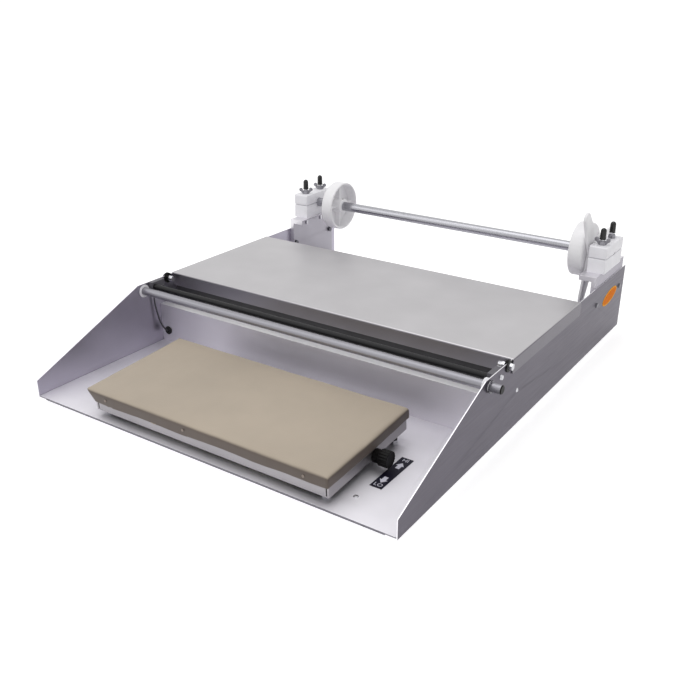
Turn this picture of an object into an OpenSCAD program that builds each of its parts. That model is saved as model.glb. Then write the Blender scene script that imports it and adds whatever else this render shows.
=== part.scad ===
// Hand wrapping table: a sheet steel frame with a heated sealing pad in an open
// front bay, a film roller and a heated cutting rod at the ridge, a flat work
// table, and a film roll shaft clamped in split blocks at the rear.
// Millimetres. X across, Y from front to rear, Z up. The origin is on the
// surface that the machine stands on, under the middle of its frame.

/* [Frame] */
// Width over the outer faces of the two side panels
body_w = 590; // [520:1:680]
// Depth from the front edge to the rear edge
body_d = 730; // [690:1:820]
// Height of the side panels above the underside
side_h = 107; // [100:1:125]
// Height of the side panels at the front lip
lip_h = 26; // [15:1:50]
// Thickness of the frame sheet
sheet = 1.5; // [1:0.1:2]
// Width of the inward flange along the bottom of each side panel
side_foot_w = 14; // [8:1:24]
// Depth of the hem folded under the front edge of the base plate
hem_d = 16; // [8:1:30]
// Height of the upturned flange at the rear of the base plate
rear_lip_h = 18; // [8:1:30]
// Clearance between sheets that are slid in beside each other
sheet_gap = 0.3; // [0.1:0.1:0.6]
// Depth of the open front bay, from the front edge to the riser
bay_d = 243; // [225:1:270]
// Distance from the riser back to the front end of the level side edge
crown_d = 43; // [30:1:60]

/* [Feet] */
// Height of the rubber feet below the frame
foot_h = 8; // [5:1:20]
// Radius of the rubber feet
foot_r = 12; // [8:1:20]
// Inset of the feet from the side panels
foot_inset_x = 45; // [30:1:80]
// Inset of the feet from the front and rear edges
foot_inset_y = 40; // [25:1:70]

/* [Riser] */
// Height of the ledge on the riser
ledge_h = 65; // [55:1:72]
// Thickness of the riser and rear wall sheet
wall_sheet = 1.2; // [0.8:0.1:2]
// Width of the folds along the riser and rear wall
fold_w = 14; // [8:1:20]
// Distance from the side rivets to the edges of the riser end tabs
tab_reach = 9; // [6:1:10]
// Radius of the lead hole in the riser
lead_hole_r = 5; // [3:0.5:8]
// Distance of the lead hole from the left side panel
lead_hole_inset = 14; // [12:1:30]
// Height of the lead hole above the base plate
lead_hole_h = 19; // [12:1:40]

/* [Table] */
// Distance from the riser back to the front face of the table cover
table_setback = 33; // [30:1:45]
// Depth of the table cover
table_d = 242; // [200:1:260]
// Thickness of the table sheet
table_sheet = 1.2; // [0.8:0.1:1.8]
// Clearance between the table flanges and the side panels
table_gap = 0.5; // [0.2:0.1:1]
// Height of the flanges of the table cover
table_flange = 21; // [14:1:26]
// Outer radius of the folded edges of the table cover
table_bend_r = 2.4; // [2:0.1:4]

/* [Film roller] */
// Distance from the riser forward to the roller axis
roller_reach = 31; // [25:1:33]
// Depth of the roller axis below the side panel edge
roller_drop = 11.5; // [10:0.5:20]
// Radius of the film roller
roller_r = 6; // [5:0.5:8]
// Wall of the film roller tube
roller_wall = 1.2; // [0.8:0.1:2]
// Length of the roller tube beyond the right side panel
roller_proud = 15.5; // [8:0.5:25]
// Length of the roller tube beyond the left side panel
left_roller_proud = 7.5; // [4:0.5:25]
// Thickness of the rim of the plugs in the tube ends
plug_t = 1.5; // [1:0.5:3]
// Radial running clearance of shafts and rollers
run_gap = 0.05; // [0.02:0.01:0.09]
// Wall of the plastic roller bush
bush_wall = 0.8; // [0.6:0.1:2]
// Width of the flange of the bush beyond its barrel
bush_rim = 3.2; // [0.5:0.1:4]
// Thickness of the flange of the right bush
bush_flange_t = 6; // [3:0.5:9]
// Thickness of the flange of the left bush
left_flange_t = 1; // [1:0.5:9]
// Length of the bush outside the side panel
bush_proud = 1.5; // [0.5:0.1:3]
// Thickness of the ring that keeps the roller in place
ring_t = 1.5; // [1:0.1:5]
// Width of the ring beyond the roller
ring_rim = 2.2; // [1:0.1:4]

/* [Cutter] */
// Gap between the roller bush and the rod holder
film_gap = 0.4; // [0.3:0.1:4]
// Radius of the covered cutting rod
rod_r = 4.5; // [3:0.5:6]
// Height of the rod axis above the roller axis
rod_lift = 4; // [0:0.5:5]
// Thickness of the insulating rod holders
holder_t = 8; // [6:0.5:12]
// Height of the insulating rod holders
holder_h = 15; // [14:0.5:15]
// Wall of the holder in front of the rod
holder_wall = 1.2; // [1:0.1:2]
// Distance from the rod axis back to the holder screw
holder_screw_pitch = 16; // [14:1:17]
// Depth of the holder screw below the rod axis
holder_screw_drop = 4.5; // [0:0.5:5]
// Length of the rod inside each holder
rod_seat = 6; // [3:0.5:7]
// Radius of the black insulating washers
washer_r = 8; // [6:0.5:9]
// Thickness of the insulating washers
washer_t = 1.5; // [1:0.5:4]
// Radius of the terminal bolts
terminal_r = 2.5; // [2:0.5:3]
// Depth of the terminal bolts below the side panel edge
terminal_drop = 4.5; // [4:0.5:12]
// Space between the insulating washers and the table cover
washer_space = 4; // [1:0.5:5]

/* [Sealing pad] */
// Room between the left side panel and the padded cover
pad_left_room = 91.5; // [60:0.5:110]
// Room between the padded cover and the right side panel
pad_right_room = 93.5; // [80:0.5:120]
// Depth of the padded cover
pad_d = 183; // [140:1:195]
// Thickness of the cover cloth
cloth_t = 1.2; // [0.8:0.1:2]
// Height of the band of the cover at its left end
band_h = 15; // [12:0.5:19]
// Height of the band of the cover at its right end
right_band_h = 10.8; // [9:0.1:12]
// Inset of the lower edge of the cover at its left end
band_slope = 16; // [4:1:20]
// Thickness of the sponge layer
sponge_t = 6; // [3:0.5:9]
// Thickness of the heated plate
plate_t = 3; // [2:0.5:8]
// Thickness of the flat heating element
element_t = 1.1; // [0.5:0.1:3]
// Inset of the sheet metal pan from the left end of the cover
pan_left_inset = 18; // [17:0.5:30]
// Inset of the sheet metal pan from the right end of the cover
pan_right_inset = 1.6; // [1.5:0.1:6]
// Depth of the sheet metal pan
pan_d = 172; // [130:1:176]
// Height of the pan walls
pan_h = 18.5; // [16:0.5:20]
// Thickness of the pan sheet
pan_sheet = 1.2; // [0.8:0.1:2]
// Distance from the front edge back to the pan
pan_front = 11; // [5:1:30]
// Height of the front lower edge of the pan above the underside
pan_lift = 10; // [8:0.5:16]
// Forward slope of the pad
pad_tilt = 3.2; // [0:0.1:6]
// Overhang of the cover in front of the pan
cover_overhang = 3; // [2:0.5:6]
// Radius of the spacers under the pan
leg_r = 5; // [4:0.5:8]
// Inset of the spacers from the pan edges
leg_inset = 12; // [10:1:40]
// Height of the nuts under the spacers
leg_nut_h = 4; // [3:0.5:5]
// Thickness of the insulation board
board_t = 6; // [3:0.5:9]
// Inset of the insulation board from the pan edges
board_inset = 40; // [34:1:60]
// Distance of the left rivet of the cover band from its end
rivet_inset = 22; // [12:1:60]
// Distance of the right rivet of the cover band from its end
right_rivet_inset = 36; // [12:1:60]
// Distance of the middle rivet from the middle of the cover band
rivet_shift = 32; // [0:1:60]

/* [Thermostat] */
// Distance from the front edge to the thermostat axis
dial_y = 107; // [60:1:150]
// Height of the thermostat axis above the underside
dial_h = 20; // [19:0.5:24]
// Radius of the thermostat knob
knob_r = 11; // [8:0.5:14]
// Length of the thermostat knob
knob_len = 21; // [14:1:28]
// Radius of the thermostat spindle
spindle_r = 3; // [2:0.5:4]
// Number of flutes around the knob
knob_flutes = 18; // [12:1:24]
// Gap between the pan wall and the knob
knob_gap = 1; // [0.5:0.5:3]
// Width of the dial plate on the base plate
label_w = 17; // [10:1:30]
// Length of the dial plate
label_len = 76; // [40:1:100]
// Thickness of the dial plate
label_t = 0.4; // [0.2:0.1:1]
// Distance from the dial plate forward to the screw in the base plate
base_screw_lead = 28; // [20:1:30]

/* [Roll brackets] */
// Distance from the rear edge forward to the roll shaft axis
axis_from_rear = 84; // [70:1:110]
// Height of the bracket flange above the side panel edge
bracket_rise = 18; // [10:1:30]
// Thickness of the bracket sheet
bracket_sheet = 2; // [1.5:0.1:3]
// Length of the brackets along the side panels
bracket_len = 132; // [110:1:140]
// Distance from the front end of the bracket to the shaft axis
bracket_lead = 60; // [45:1:65]
// Width of the bracket flange
bracket_flange_w = 27.5; // [26:0.5:32]
// Height of the bracket below the side panel edge
bracket_drop = 77; // [45:1:90]
// Height of the lip at the front of the bracket flange
bracket_nose = 8; // [5:1:14]
// Width of the stiffening lip along the front of the bracket
bracket_lip = 7.5; // [5:0.5:12]
// Depth of the bracket screws below the side panel edge
bracket_screw_drop = 30; // [25:1:36]
// Inset of the front bracket screws from the front ends of the brackets
front_screw_inset = 12; // [12:1:25]
// Inset of the rear bracket screws from the rear ends of the brackets
rear_screw_inset = 10; // [8:1:25]

/* [Roll blocks] */
// Thickness of the clamp blocks across the machine
block_t = 28; // [22:1:34]
// Length of the clamp blocks
block_len = 78; // [70:1:90]
// Height of the lower block up to the shaft axis
block_lower_h = 23.5; // [18:0.5:28]
// Height of the upper block above the shaft axis
block_upper_h = 18.5; // [14:0.5:26]
// Open gap between the lower and upper block
split_gap = 1.2; // [0.6:0.1:2]
// Distance from the shaft axis to each clamp stud
stud_pitch = 22.5; // [19:0.5:26]
// Radius of the clamp studs
stud_r = 3; // [2.5:0.5:4]
// Length of the clamp studs below their nuts
stud_tail = 9.5; // [1:0.5:12]
// Clearance of the studs in the blocks
stud_gap = 0.2; // [0.1:0.1:0.4]
// Overhang of the blocks beyond the side panels
block_overhang = 3; // [1:0.5:6]
// Wall left at the outer end of the shaft bore
block_end_wall = 4; // [3:0.5:6]
// Radius of the centre hole in the outer end of the blocks
centre_hole_r = 2.5; // [1:0.5:4]
// Edge chamfer of the blocks
block_chamfer = 1.5; // [0.5:0.5:3]

/* [Wing nuts] */
// Radius of the wing nut body
nut_r = 6; // [5:0.5:7]
// Height of the wing nut body
nut_h = 6; // [4:0.5:8]
// Radius of the outer ends of the wings
nut_wing_r = 12.5; // [10:0.5:15]
// Height of the wings above the nut base
nut_wing_h = 11; // [8:0.5:12]
// Thickness of the wings
nut_wing_t = 2.6; // [1.5:0.1:3.5]
// Gap between the wing nut body and the stud cap
cap_gap = 2.3; // [1.8:0.1:4]
// Radius of the stud caps
cap_r = 4.75; // [4.5:0.25:5.5]
// Height of the stud caps
cap_h = 18; // [12:1:24]

/* [Roll shaft] */
// Radius of the roll shaft
shaft_r = 8; // [6:0.5:10]
// Clearance at each end of the shaft
shaft_end_gap = 1; // [0.5:0.5:2]
// Distance from the left block to the outer face of the left bobbin
left_bobbin_space = 34; // [10:0.5:60]
// Distance from the right block to the outer face of the right bobbin
bobbin_space = 9; // [9:0.5:16]
// Outer radius of the bobbin drum
drum_r = 43; // [36:1:50]
// Wall of the bobbin drum
drum_wall = 4; // [2.5:0.5:6]
// Length of the bobbin drum
drum_len = 23.5; // [16:0.5:30]
// Thickness of the bobbin end wall
drum_web = 4; // [3:0.5:6]
// Radius of the rounded outer edge of the bobbin drum
drum_round = 5; // [2:0.5:8]
// Radius of the bobbin hub
hub_r = 13; // [11:0.5:18]
// Thickness of the ribs inside the bobbin
rib_t = 3; // [2:0.5:5]
// Height of the ribs inside the bobbin
rib_h = 10; // [6:1:14]
// Radius to the tips of the three wings of the lock
wing_tip_r = 86; // [70:1:95]
// Width of a wing at its root
wing_root_w = 38; // [26:1:46]
// Width of a wing at its tip
wing_tip_w = 20; // [8:1:24]
// Thickness of the wings
wing_t = 4.5; // [3:0.5:6]
// Angle of the first wing from the rear direction
wing_angle = 127; // [60:1:180]
// Thickness of the lock hub
lock_hub_t = 8; // [6:0.5:8]
// Gap between the lock and the bobbin
lock_gap = 0.3; // [0.2:0.1:0.6]

/* [Electrical] */
// Width of the power switch opening
switch_w = 27; // [20:1:32]
// Height of the power switch opening
switch_h = 20; // [14:1:24]
// Distance of the switch from the middle of the machine
switch_x = -190; // [-220:1:-120]
// Height of the switch and the cable gland above the underside
service_h = 48; // [34:1:56]
// Tilt of the rocker at rest
rocker_tilt = 9; // [5:1:12]
// Distance of the cable gland from the middle of the machine
gland_x = 190; // [120:1:220]
// Radius of the cable hole in the gland
gland_bore_r = 4; // [3:0.5:5]
// Radius of the gland body
gland_r = 10; // [8:0.5:13]
// Length of the gland behind the rear wall
gland_len = 24; // [16:1:30]
// Width of the transformer core
core_w = 66; // [50:1:80]
// Depth of the transformer core
core_d = 40; // [30:1:56]
// Height of the transformer core
core_h = 56; // [40:1:66]
// Width of the oval sticker on the right side panel
sticker_w = 66; // [40:1:80]
// Height of the oval sticker
sticker_h = 28; // [16:1:36]
// Distance of the sticker behind the roll shaft axis
sticker_lead = 16; // [0:1:20]
// Depth of the sticker below the side panel edge
sticker_drop = 34; // [25:1:45]

/* [Hidden] */

$fn = 64;
tiny = 0.01;

half_w = body_w / 2;
inner_x = half_w - sheet;
floor_z = 2 * sheet;
crown_y = bay_d - crown_d;

// ridge positions, all taken from the riser and the side panel edge
roller_y = bay_d - roller_reach;
roller_z = side_h - roller_drop;
bush_r = roller_r + run_gap + bush_wall;
rod_y = roller_y + bush_r + bush_rim + film_gap + holder_wall + rod_r;
rod_z = roller_z + rod_lift;
holder_screw_y = rod_y + holder_screw_pitch;
holder_screw_z = rod_z - holder_screw_drop;
holder_screw_r = 2;
table_y = bay_d + table_setback;
table_top = side_h + table_sheet;
terminal_y = table_y - washer_r - washer_space;
terminal_z = side_h - terminal_drop;
rear_wall_y = table_y + table_d - 2 * table_sheet - 4 * wall_sheet;

// pad positions, in the frame of the tilted pan
pad_x = (pad_left_room - pad_right_room) / 2;
pad_w = 2 * inner_x - pad_left_room - pad_right_room;
pan_w = pad_w - pan_left_inset - pan_right_inset;
pan_x = pad_x + (pan_left_inset - pan_right_inset) / 2;
pan_half = pan_w / 2;
plate_z = pan_h + element_t;
cover_top = plate_z + plate_t + sponge_t + cloth_t;
cover_left = pad_x - pan_x - pad_w / 2;
cover_right = pad_x - pan_x + pad_w / 2;
band_low_left = cover_left + band_slope;
band_low_z = cover_top - band_h;
plate_side_gap = 1.5;
cover_edge = 4;
sponge_z = plate_z + plate_t;
pan_slit_w = 1.6;
pan_slit_inset = 3.5;
dial_local_z = dial_h - pan_lift - (dial_y - pan_front) * tan(pad_tilt);
thermostat_len = 34;
thermostat_d = 30;
thermostat_h = 8;
dial_x0 = pan_half + knob_gap;
dial_plate_gap = 5;
dial_plate_x = pan_x + dial_x0 + knob_len / 2 + dial_plate_gap;

// roll holder positions
axis_y = body_d - axis_from_rear;
flange_top = side_h + bracket_rise;
axis_z = flange_top + block_lower_h;
block_out_x = half_w + block_overhang;
block_in_x = block_out_x - block_t;
stud_x = block_out_x - block_t / 2;
block_top = axis_z + block_upper_h;
bracket_y = axis_y - bracket_lead;
bracket_screw_z = side_h - bracket_screw_drop;
bracket_screw_ys = [bracket_y + front_screw_inset, bracket_y + bracket_len - rear_screw_inset];
bracket_screw_r = 2.5;
bracket_nut_h = 4;
shaft_bore_r = shaft_r + run_gap;
shaft_half = block_out_x - block_end_wall - shaft_end_gap;
bobbin_out_x = block_in_x - bobbin_space;
left_bobbin_x = left_bobbin_space - block_in_x;
set_screw_x = left_bobbin_x + drum_len - 3;
cap_z = block_top + nut_h + cap_gap;
// resting turn of each wing nut
left_front_turn = 40;
left_rear_turn = 15;
right_front_turn = 0;
right_rear_turn = 100;

// small fasteners
screw_head_h = 2.2;
hex_h = 5;
hex_ratio = 1.9;
stud_low = flange_top - bracket_sheet - hex_h - stud_tail;
set_screw_r = 2;
rivet_r = 3.2;
rivet_h = 1.2;
side_rivet_lead = 24;
side_rivet_y = table_y + side_rivet_lead;
side_rivet_z = ledge_h - 11;
lead_hole_x = -(inner_x - lead_hole_inset);
lead_hole_z = floor_z + lead_hole_h;

// cutter lead: hangs from the left rod holder and leaves through the riser;
// X of its route is measured from the inner face of the left side panel
lead_r = 1.25;
lead_sides = 8;
lead_route = [
    [4, 227, 92], [4, 227, 86], [4, 227, 80], [4, 227.5, 74], [4, 228, 68],
    [4.5, 229, 62], [5, 230, 56], [5.5, 231, 50], [6, 232, 44], [7, 233, 38.5],
    [8.5, 234.5, 33], [10.5, 236, 28.5], [12.5, 237.8, 25], [13.7, 239.8, 22.8], [14, 242.5, 22],
    [14, 247, 21.7], [14, 252, 20.5], [14, 258, 19]
];

module framed() { translate([0, -body_d / 2, foot_h]) children(); }
module both_sides() { children(); mirror([1, 0, 0]) children(); }
module along_x(x, y, z) { translate([x, y, z]) rotate([0, 90, 0]) children(); }
module side_profile(x, t) { translate([x, 0, 0]) rotate([90, 0, 90]) linear_extrude(t) children(); }

// ---------------------------------------------------------------- frame

module panel_outline() {
    polygon([[0, 0], [0, lip_h], [crown_y, side_h], [body_d, side_h], [body_d, 0]]);
}

module panel_hole(y, z, r) { translate([y, z]) circle(r); }

module side_panel() {
    side_profile(inner_x, sheet) difference() {
        panel_outline();
        panel_hole(roller_y, roller_z, bush_r);
        panel_hole(holder_screw_y, holder_screw_z, holder_screw_r);
        panel_hole(terminal_y, terminal_z, terminal_r);
        panel_hole(side_rivet_y, side_rivet_z, rivet_r / 2);
        for (y = bracket_screw_ys) panel_hole(y, bracket_screw_z, bracket_screw_r);
    }
    translate([inner_x - side_foot_w, 0, 0]) cube([side_foot_w, body_d, sheet]);
}

module right_side_panel() { color("#75717c") framed() side_panel(); }
module left_side_panel() { color("#75717c") framed() mirror([1, 0, 0]) side_panel(); }

module base_plate() {
    hem_half = inner_x - side_foot_w - sheet_gap;
    lip_half = inner_x - sheet_gap;
    color("#b9b7bb") framed() {
        translate([-lip_half, 0, sheet]) cube([2 * lip_half, body_d, sheet]);
        translate([-hem_half, 0, 0]) cube([2 * hem_half, hem_d, sheet]);
        translate([-lip_half, body_d - sheet, sheet]) cube([2 * lip_half, sheet, rear_lip_h]);
    }
}

module foot() {
    rotate_extrude() polygon([
        [0, -foot_h], [foot_r - 2 * sheet, -foot_h], [foot_r - sheet, sheet - foot_h],
        [foot_r, sheet], [0, sheet]
    ]);
}

module rubber_feet() {
    color("#1c1c1e") framed() both_sides()
        for (y = [foot_inset_y, body_d - foot_inset_y])
            translate([half_w - foot_inset_x, y, 0]) foot();
}

// folded sheet: foot, upright, ledge, support wall and top flange, with end tabs
module riser_panel() {
    span = 2 * (inner_x - sheet_gap);
    t = wall_sheet;
    back_y = table_y + 3 * table_sheet + 2;
    tab_top = ledge_h - t;
    color("#9d9aa3") framed() difference() {
        union() {
            side_profile(-span / 2, span) polygon([
                [bay_d, floor_z], [bay_d, ledge_h], [back_y, ledge_h], [back_y, side_h],
                [back_y + fold_w, side_h], [back_y + fold_w, side_h - t], [back_y + t, side_h - t],
                [back_y + t, ledge_h - t], [bay_d + t, ledge_h - t], [bay_d + t, floor_z + t],
                [bay_d + fold_w, floor_z + t], [bay_d + fold_w, floor_z]
            ]);
            both_sides() translate([inner_x - t, bay_d, side_rivet_z - tab_reach])
                cube([t, side_rivet_y - bay_d + tab_reach, tab_top - side_rivet_z + tab_reach]);
        }
        translate([lead_hole_x, bay_d + t / 2, lead_hole_z])
            rotate([90, 0, 0]) cylinder(r = lead_hole_r, h = 3 * t, center = true);
        along_x(-half_w, side_rivet_y, side_rivet_z) cylinder(r = rivet_r / 2, h = body_w);
    }
}

// folded sheet that closes the space under the table at the rear
module rear_wall() {
    span = 2 * (inner_x - sheet_gap);
    t = wall_sheet;
    y = rear_wall_y;
    color("#9d9aa3") framed() difference() {
        side_profile(-span / 2, span) polygon([
            [y - fold_w, floor_z], [y - fold_w, floor_z + t], [y, floor_z + t], [y, side_h - t],
            [y - fold_w, side_h - t], [y - fold_w, side_h], [y + t, side_h], [y + t, floor_z]
        ]);
        translate([switch_x - switch_w / 2, y - t, service_h - switch_h / 2])
            cube([switch_w, 3 * t, switch_h]);
        translate([gland_x, y + t / 2, service_h])
            rotate([90, 0, 0]) cylinder(r = gland_r - 2, h = 3 * t, center = true);
    }
}

// ---------------------------------------------------------------- table

// rectangle with its two upper corners rounded, standing on the origin line
module crowned(w, h, r) {
    translate([-w / 2, 0]) square([w, h - r]);
    translate([r - w / 2, 0]) square([w - 2 * r, h]);
    for (side = [-1, 1]) translate([side * (w / 2 - r), h - r]) circle(r);
}

module crowned_block(w, d, h, r) {
    intersection() {
        rotate([90, 0, 0]) linear_extrude(d, center = true) crowned(w, h, r);
        rotate([90, 0, 90]) linear_extrude(w, center = true) crowned(d, h, r);
    }
}

// folded sheet: its end flanges are notched where the side panels stand in them
module table_cover() {
    w = body_w + 2 * (table_gap + table_sheet);
    notch_w = sheet + 2 * table_gap;
    notch_reach = 2 * table_sheet;
    color("#bdbcbe") framed() translate([0, table_y + table_d / 2, table_top - table_flange]) difference() {
        crowned_block(w, table_d, table_flange, table_bend_r);
        translate([0, 0, -tiny]) crowned_block(
            w - 2 * table_sheet, table_d - 2 * table_sheet,
            table_flange - table_sheet + tiny, table_gap);
        for (sx = [-1, 1], sy = [-1, 1])
            translate([sx * (inner_x + sheet / 2), sy * table_d / 2, 0])
                cube([notch_w, 2 * notch_reach, 2 * (table_flange - table_sheet)], center = true);
    }
}

module panel_rivets() {
    grip = sheet + wall_sheet;
    color("#c9c8cc") framed() both_sides() along_x(inner_x - wall_sheet, side_rivet_y, side_rivet_z) {
        translate([0, 0, -rivet_h]) cylinder(r = rivet_r * 0.8, h = rivet_h);
        cylinder(r = rivet_r / 2, h = grip);
        translate([0, 0, grip]) cylinder(r1 = rivet_r, r2 = rivet_r * 0.6, h = rivet_h);
    }
}

// ---------------------------------------------------------------- roll holder

module bracket() {
    web_x = inner_x - bracket_sheet;
    low = side_h - bracket_drop;
    difference() {
        union() {
            translate([web_x, bracket_y, low])
                cube([bracket_sheet, bracket_len, flange_top - low]);
            translate([inner_x - bracket_flange_w, bracket_y, flange_top - bracket_sheet])
                cube([bracket_flange_w, bracket_len, bracket_sheet]);
            translate([inner_x - bracket_flange_w, bracket_y, flange_top - bracket_nose])
                cube([bracket_flange_w, bracket_sheet, bracket_nose]);
            translate([inner_x - bracket_lip, bracket_y, low])
                cube([bracket_lip, bracket_sheet, flange_top - low]);
        }
        for (side = [-1, 1]) translate([stud_x, axis_y + side * stud_pitch, flange_top])
            cylinder(r = stud_r, h = 3 * bracket_sheet, center = true);
        for (y = bracket_screw_ys) along_x(web_x - bracket_sheet, y, bracket_screw_z)
            cylinder(r = bracket_screw_r, h = 3 * bracket_sheet);
    }
}

module right_bracket() { color("#a3a1a8") framed() bracket(); }
module left_bracket() { color("#a3a1a8") framed() mirror([1, 0, 0]) bracket(); }

module bracket_screws() {
    inside = inner_x - bracket_sheet;
    head_r = 4.4;
    nut_r = 4.6;
    color("#c9c8cc") framed() both_sides() for (y = bracket_screw_ys) {
        along_x(inside, y, bracket_screw_z) cylinder(r = bracket_screw_r, h = half_w - inside);
        along_x(half_w, y, bracket_screw_z) cylinder(r1 = head_r, r2 = head_r * 0.7, h = screw_head_h);
        along_x(inside - bracket_nut_h, y, bracket_screw_z)
            cylinder(r = nut_r, h = bracket_nut_h, $fn = 6);
    }
}

// clamp block with chamfered outer edges, from z0 up by h
module block_body(z0, h) {
    c = block_chamfer;
    y0 = axis_y - block_len / 2;
    y1 = axis_y + block_len / 2;
    difference() {
        side_profile(block_in_x, block_t) polygon([
            [y0, z0], [y0, z0 + h - c], [y0 + c, z0 + h], [y1 - c, z0 + h], [y1, z0 + h - c], [y1, z0]
        ]);
        along_x(block_in_x - tiny, axis_y, axis_z)
            cylinder(r = shaft_bore_r, h = block_t - block_end_wall + tiny);
        along_x(block_in_x, axis_y, axis_z) cylinder(r = centre_hole_r, h = block_t + 1);
        for (side = [-1, 1]) translate([stud_x, axis_y + side * stud_pitch, z0 - 1])
            cylinder(r = stud_r + stud_gap, h = h + 2);
    }
}

module lower_block() { block_body(flange_top, block_lower_h - split_gap / 2); }
module upper_block() { block_body(axis_z + split_gap / 2, block_upper_h - split_gap / 2); }
module right_lower_block() { color("#dedddb") framed() lower_block(); }
module left_lower_block() { color("#dedddb") framed() mirror([1, 0, 0]) lower_block(); }
module right_upper_block() { color("#e4e3e1") framed() upper_block(); }
module left_upper_block() { color("#e4e3e1") framed() mirror([1, 0, 0]) upper_block(); }

module at_studs() {
    both_sides() for (side = [-1, 1])
        translate([stud_x, axis_y + side * stud_pitch, 0]) children();
}

module clamp_studs() {
    color("#b4b4b6") framed() at_studs() translate([0, 0, stud_low])
        cylinder(r = stud_r, h = cap_z + cap_h - cap_r - stud_low);
}

module stud_nuts() {
    color("#b4b4b6") framed() at_studs() difference() {
        translate([0, 0, stud_low + stud_tail]) cylinder(r = stud_r * hex_ratio, h = hex_h, $fn = 6);
        translate([0, 0, stud_low]) cylinder(r = stud_r, h = hex_h + 2 * stud_tail);
    }
}

module stud_cap() {
    difference() {
        union() {
            cylinder(r = cap_r, h = cap_h - cap_r);
            translate([0, 0, cap_h - cap_r]) sphere(cap_r);
        }
        translate([0, 0, -tiny]) cylinder(r = stud_r, h = cap_h - cap_r + tiny);
    }
}

module stud_caps() { color("#151517") framed() at_studs() translate([0, 0, cap_z]) stud_cap(); }

// a wing: its root lies in the nut body, clear of the cap, and its outer end is round
module nut_wing() {
    tip_r = nut_wing_h * 0.3;
    reach = nut_wing_r - tip_r;
    inner = cap_r + 0.8;
    root = (stud_r + nut_r) / 2;
    rotate([90, 0, 0]) linear_extrude(nut_wing_t, center = true) {
        polygon([[root, 0.5], [nut_r, 0.5], [nut_wing_r, nut_wing_h - tip_r],
                 [reach, nut_wing_h - tip_r / 2], [inner, nut_h + 1], [inner, nut_h - 0.5],
                 [root, nut_h - 0.5]]);
        translate([reach, nut_wing_h - tip_r]) circle(tip_r);
    }
}

module wing_nut(side_x, side_y, turn) {
    color("#b9b9bb") framed()
        translate([side_x * stud_x, axis_y + side_y * stud_pitch, block_top]) rotate([0, 0, turn])
            difference() {
                union() {
                    cylinder(r1 = nut_r, r2 = nut_r - 1, h = nut_h);
                    for (a = [0, 180]) rotate([0, 0, a]) nut_wing();
                }
                translate([0, 0, -1]) cylinder(r = stud_r + run_gap, h = nut_h + 2);
            }
}

module left_front_wing_nut() { wing_nut(-1, -1, left_front_turn); }
module left_rear_wing_nut() { wing_nut(-1, 1, left_rear_turn); }
module right_front_wing_nut() { wing_nut(1, -1, right_front_turn); }
module right_rear_wing_nut() { wing_nut(1, 1, right_rear_turn); }

module roll_shaft() {
    c = 1;
    color("#c4c4c8") framed() along_x(-shaft_half, axis_y, axis_z) rotate_extrude()
        polygon([[0, 0], [shaft_r - c, 0], [shaft_r, c], [shaft_r, 2 * shaft_half - c],
                 [shaft_r - c, 2 * shaft_half], [0, 2 * shaft_half]]);
}

// points of a round edge, from angle a0 on in steps of an eighth of a half turn
function round_edge(x, z, r, a0, steps) =
    [for (a = [a0:22.5:a0 + 22.5 * steps]) [x + r * cos(a), z + r * sin(a)]];

// bobbin: a cup that opens along +Z, with a hub, four ribs and rounded edges
module bobbin() {
    mouth_r = drum_wall / 2;
    hub_edge = 1;
    difference() {
        union() {
            rotate_extrude() polygon(concat(
                [[0, 0]],
                round_edge(drum_r - drum_round, drum_round, drum_round, -90, 4),
                round_edge(drum_r - mouth_r, drum_len - mouth_r, mouth_r, 0, 8),
                [[drum_r - drum_wall, drum_web], [hub_r, drum_web]],
                [[hub_r, drum_len - hub_edge], [hub_r - hub_edge, drum_len], [0, drum_len]]
            ));
            for (a = [0, 90, 180, 270]) rotate([0, 0, a])
                translate([hub_r - 1, -rib_t / 2, drum_web - 1])
                    cube([drum_r - drum_wall - hub_r + 2, rib_t, rib_h + 1]);
        }
        translate([0, 0, -1]) cylinder(r = shaft_bore_r, h = drum_len + 2);
    }
}

module right_bobbin() {
    color("#dddde0") framed() along_x(bobbin_out_x, axis_y, axis_z) rotate([0, 180, 0]) bobbin();
}

// the left hub also has the tapped hole of the set screw
module left_bobbin() {
    color("#dddde0") framed() difference() {
        along_x(left_bobbin_x, axis_y, axis_z) bobbin();
        translate([set_screw_x, axis_y, axis_z]) cylinder(r = set_screw_r, h = hub_r + 1);
    }
}

module bobbin_set_screw() {
    color("#2c2c30") framed() translate([set_screw_x, axis_y, axis_z + shaft_r])
        cylinder(r = set_screw_r, h = hub_r - shaft_r);
}

// outline of one wing, tapered and round at its tip, turned to its angle
function turned(p, a) = [p[0] * cos(a) - p[1] * sin(a), p[0] * sin(a) + p[1] * cos(a)];
function tip_point(a, tip_r, tip_x) = [tip_x + tip_r * cos(a), tip_r * sin(a)];
function wing_outline(turn, tip_r, tip_x, half_arc, steps) = [
    turned([hub_r, -wing_root_w / 2], turn),
    for (i = [0:steps]) turned(tip_point(half_arc * (2 * i / steps - 1), tip_r, tip_x), turn),
    turned([hub_r, wing_root_w / 2], turn)
];

// three wings on a hub; the frame of the wings has its Z axis along +X
module wing_lock() {
    tip_r = wing_tip_w / 2;
    tip_x = wing_tip_r - tip_r;
    half_arc = 90 - atan((wing_root_w / 2 - tip_r) / (tip_x - hub_r));
    wings = [wing_angle, wing_angle + 120, wing_angle + 240];
    color("#d6d6d9") framed() translate([bobbin_out_x + lock_gap, axis_y, axis_z])
        rotate([90, 0, 90]) difference() {
            union() {
                linear_extrude(wing_t)
                    polygon([for (turn = wings) each wing_outline(turn, tip_r, tip_x, half_arc, 12)]);
                cylinder(r = hub_r + 2, h = lock_hub_t);
            }
            translate([0, 0, -1]) cylinder(r = shaft_bore_r, h = lock_hub_t + 2);
        }
}

// ---------------------------------------------------------------- roller and cutter

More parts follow.
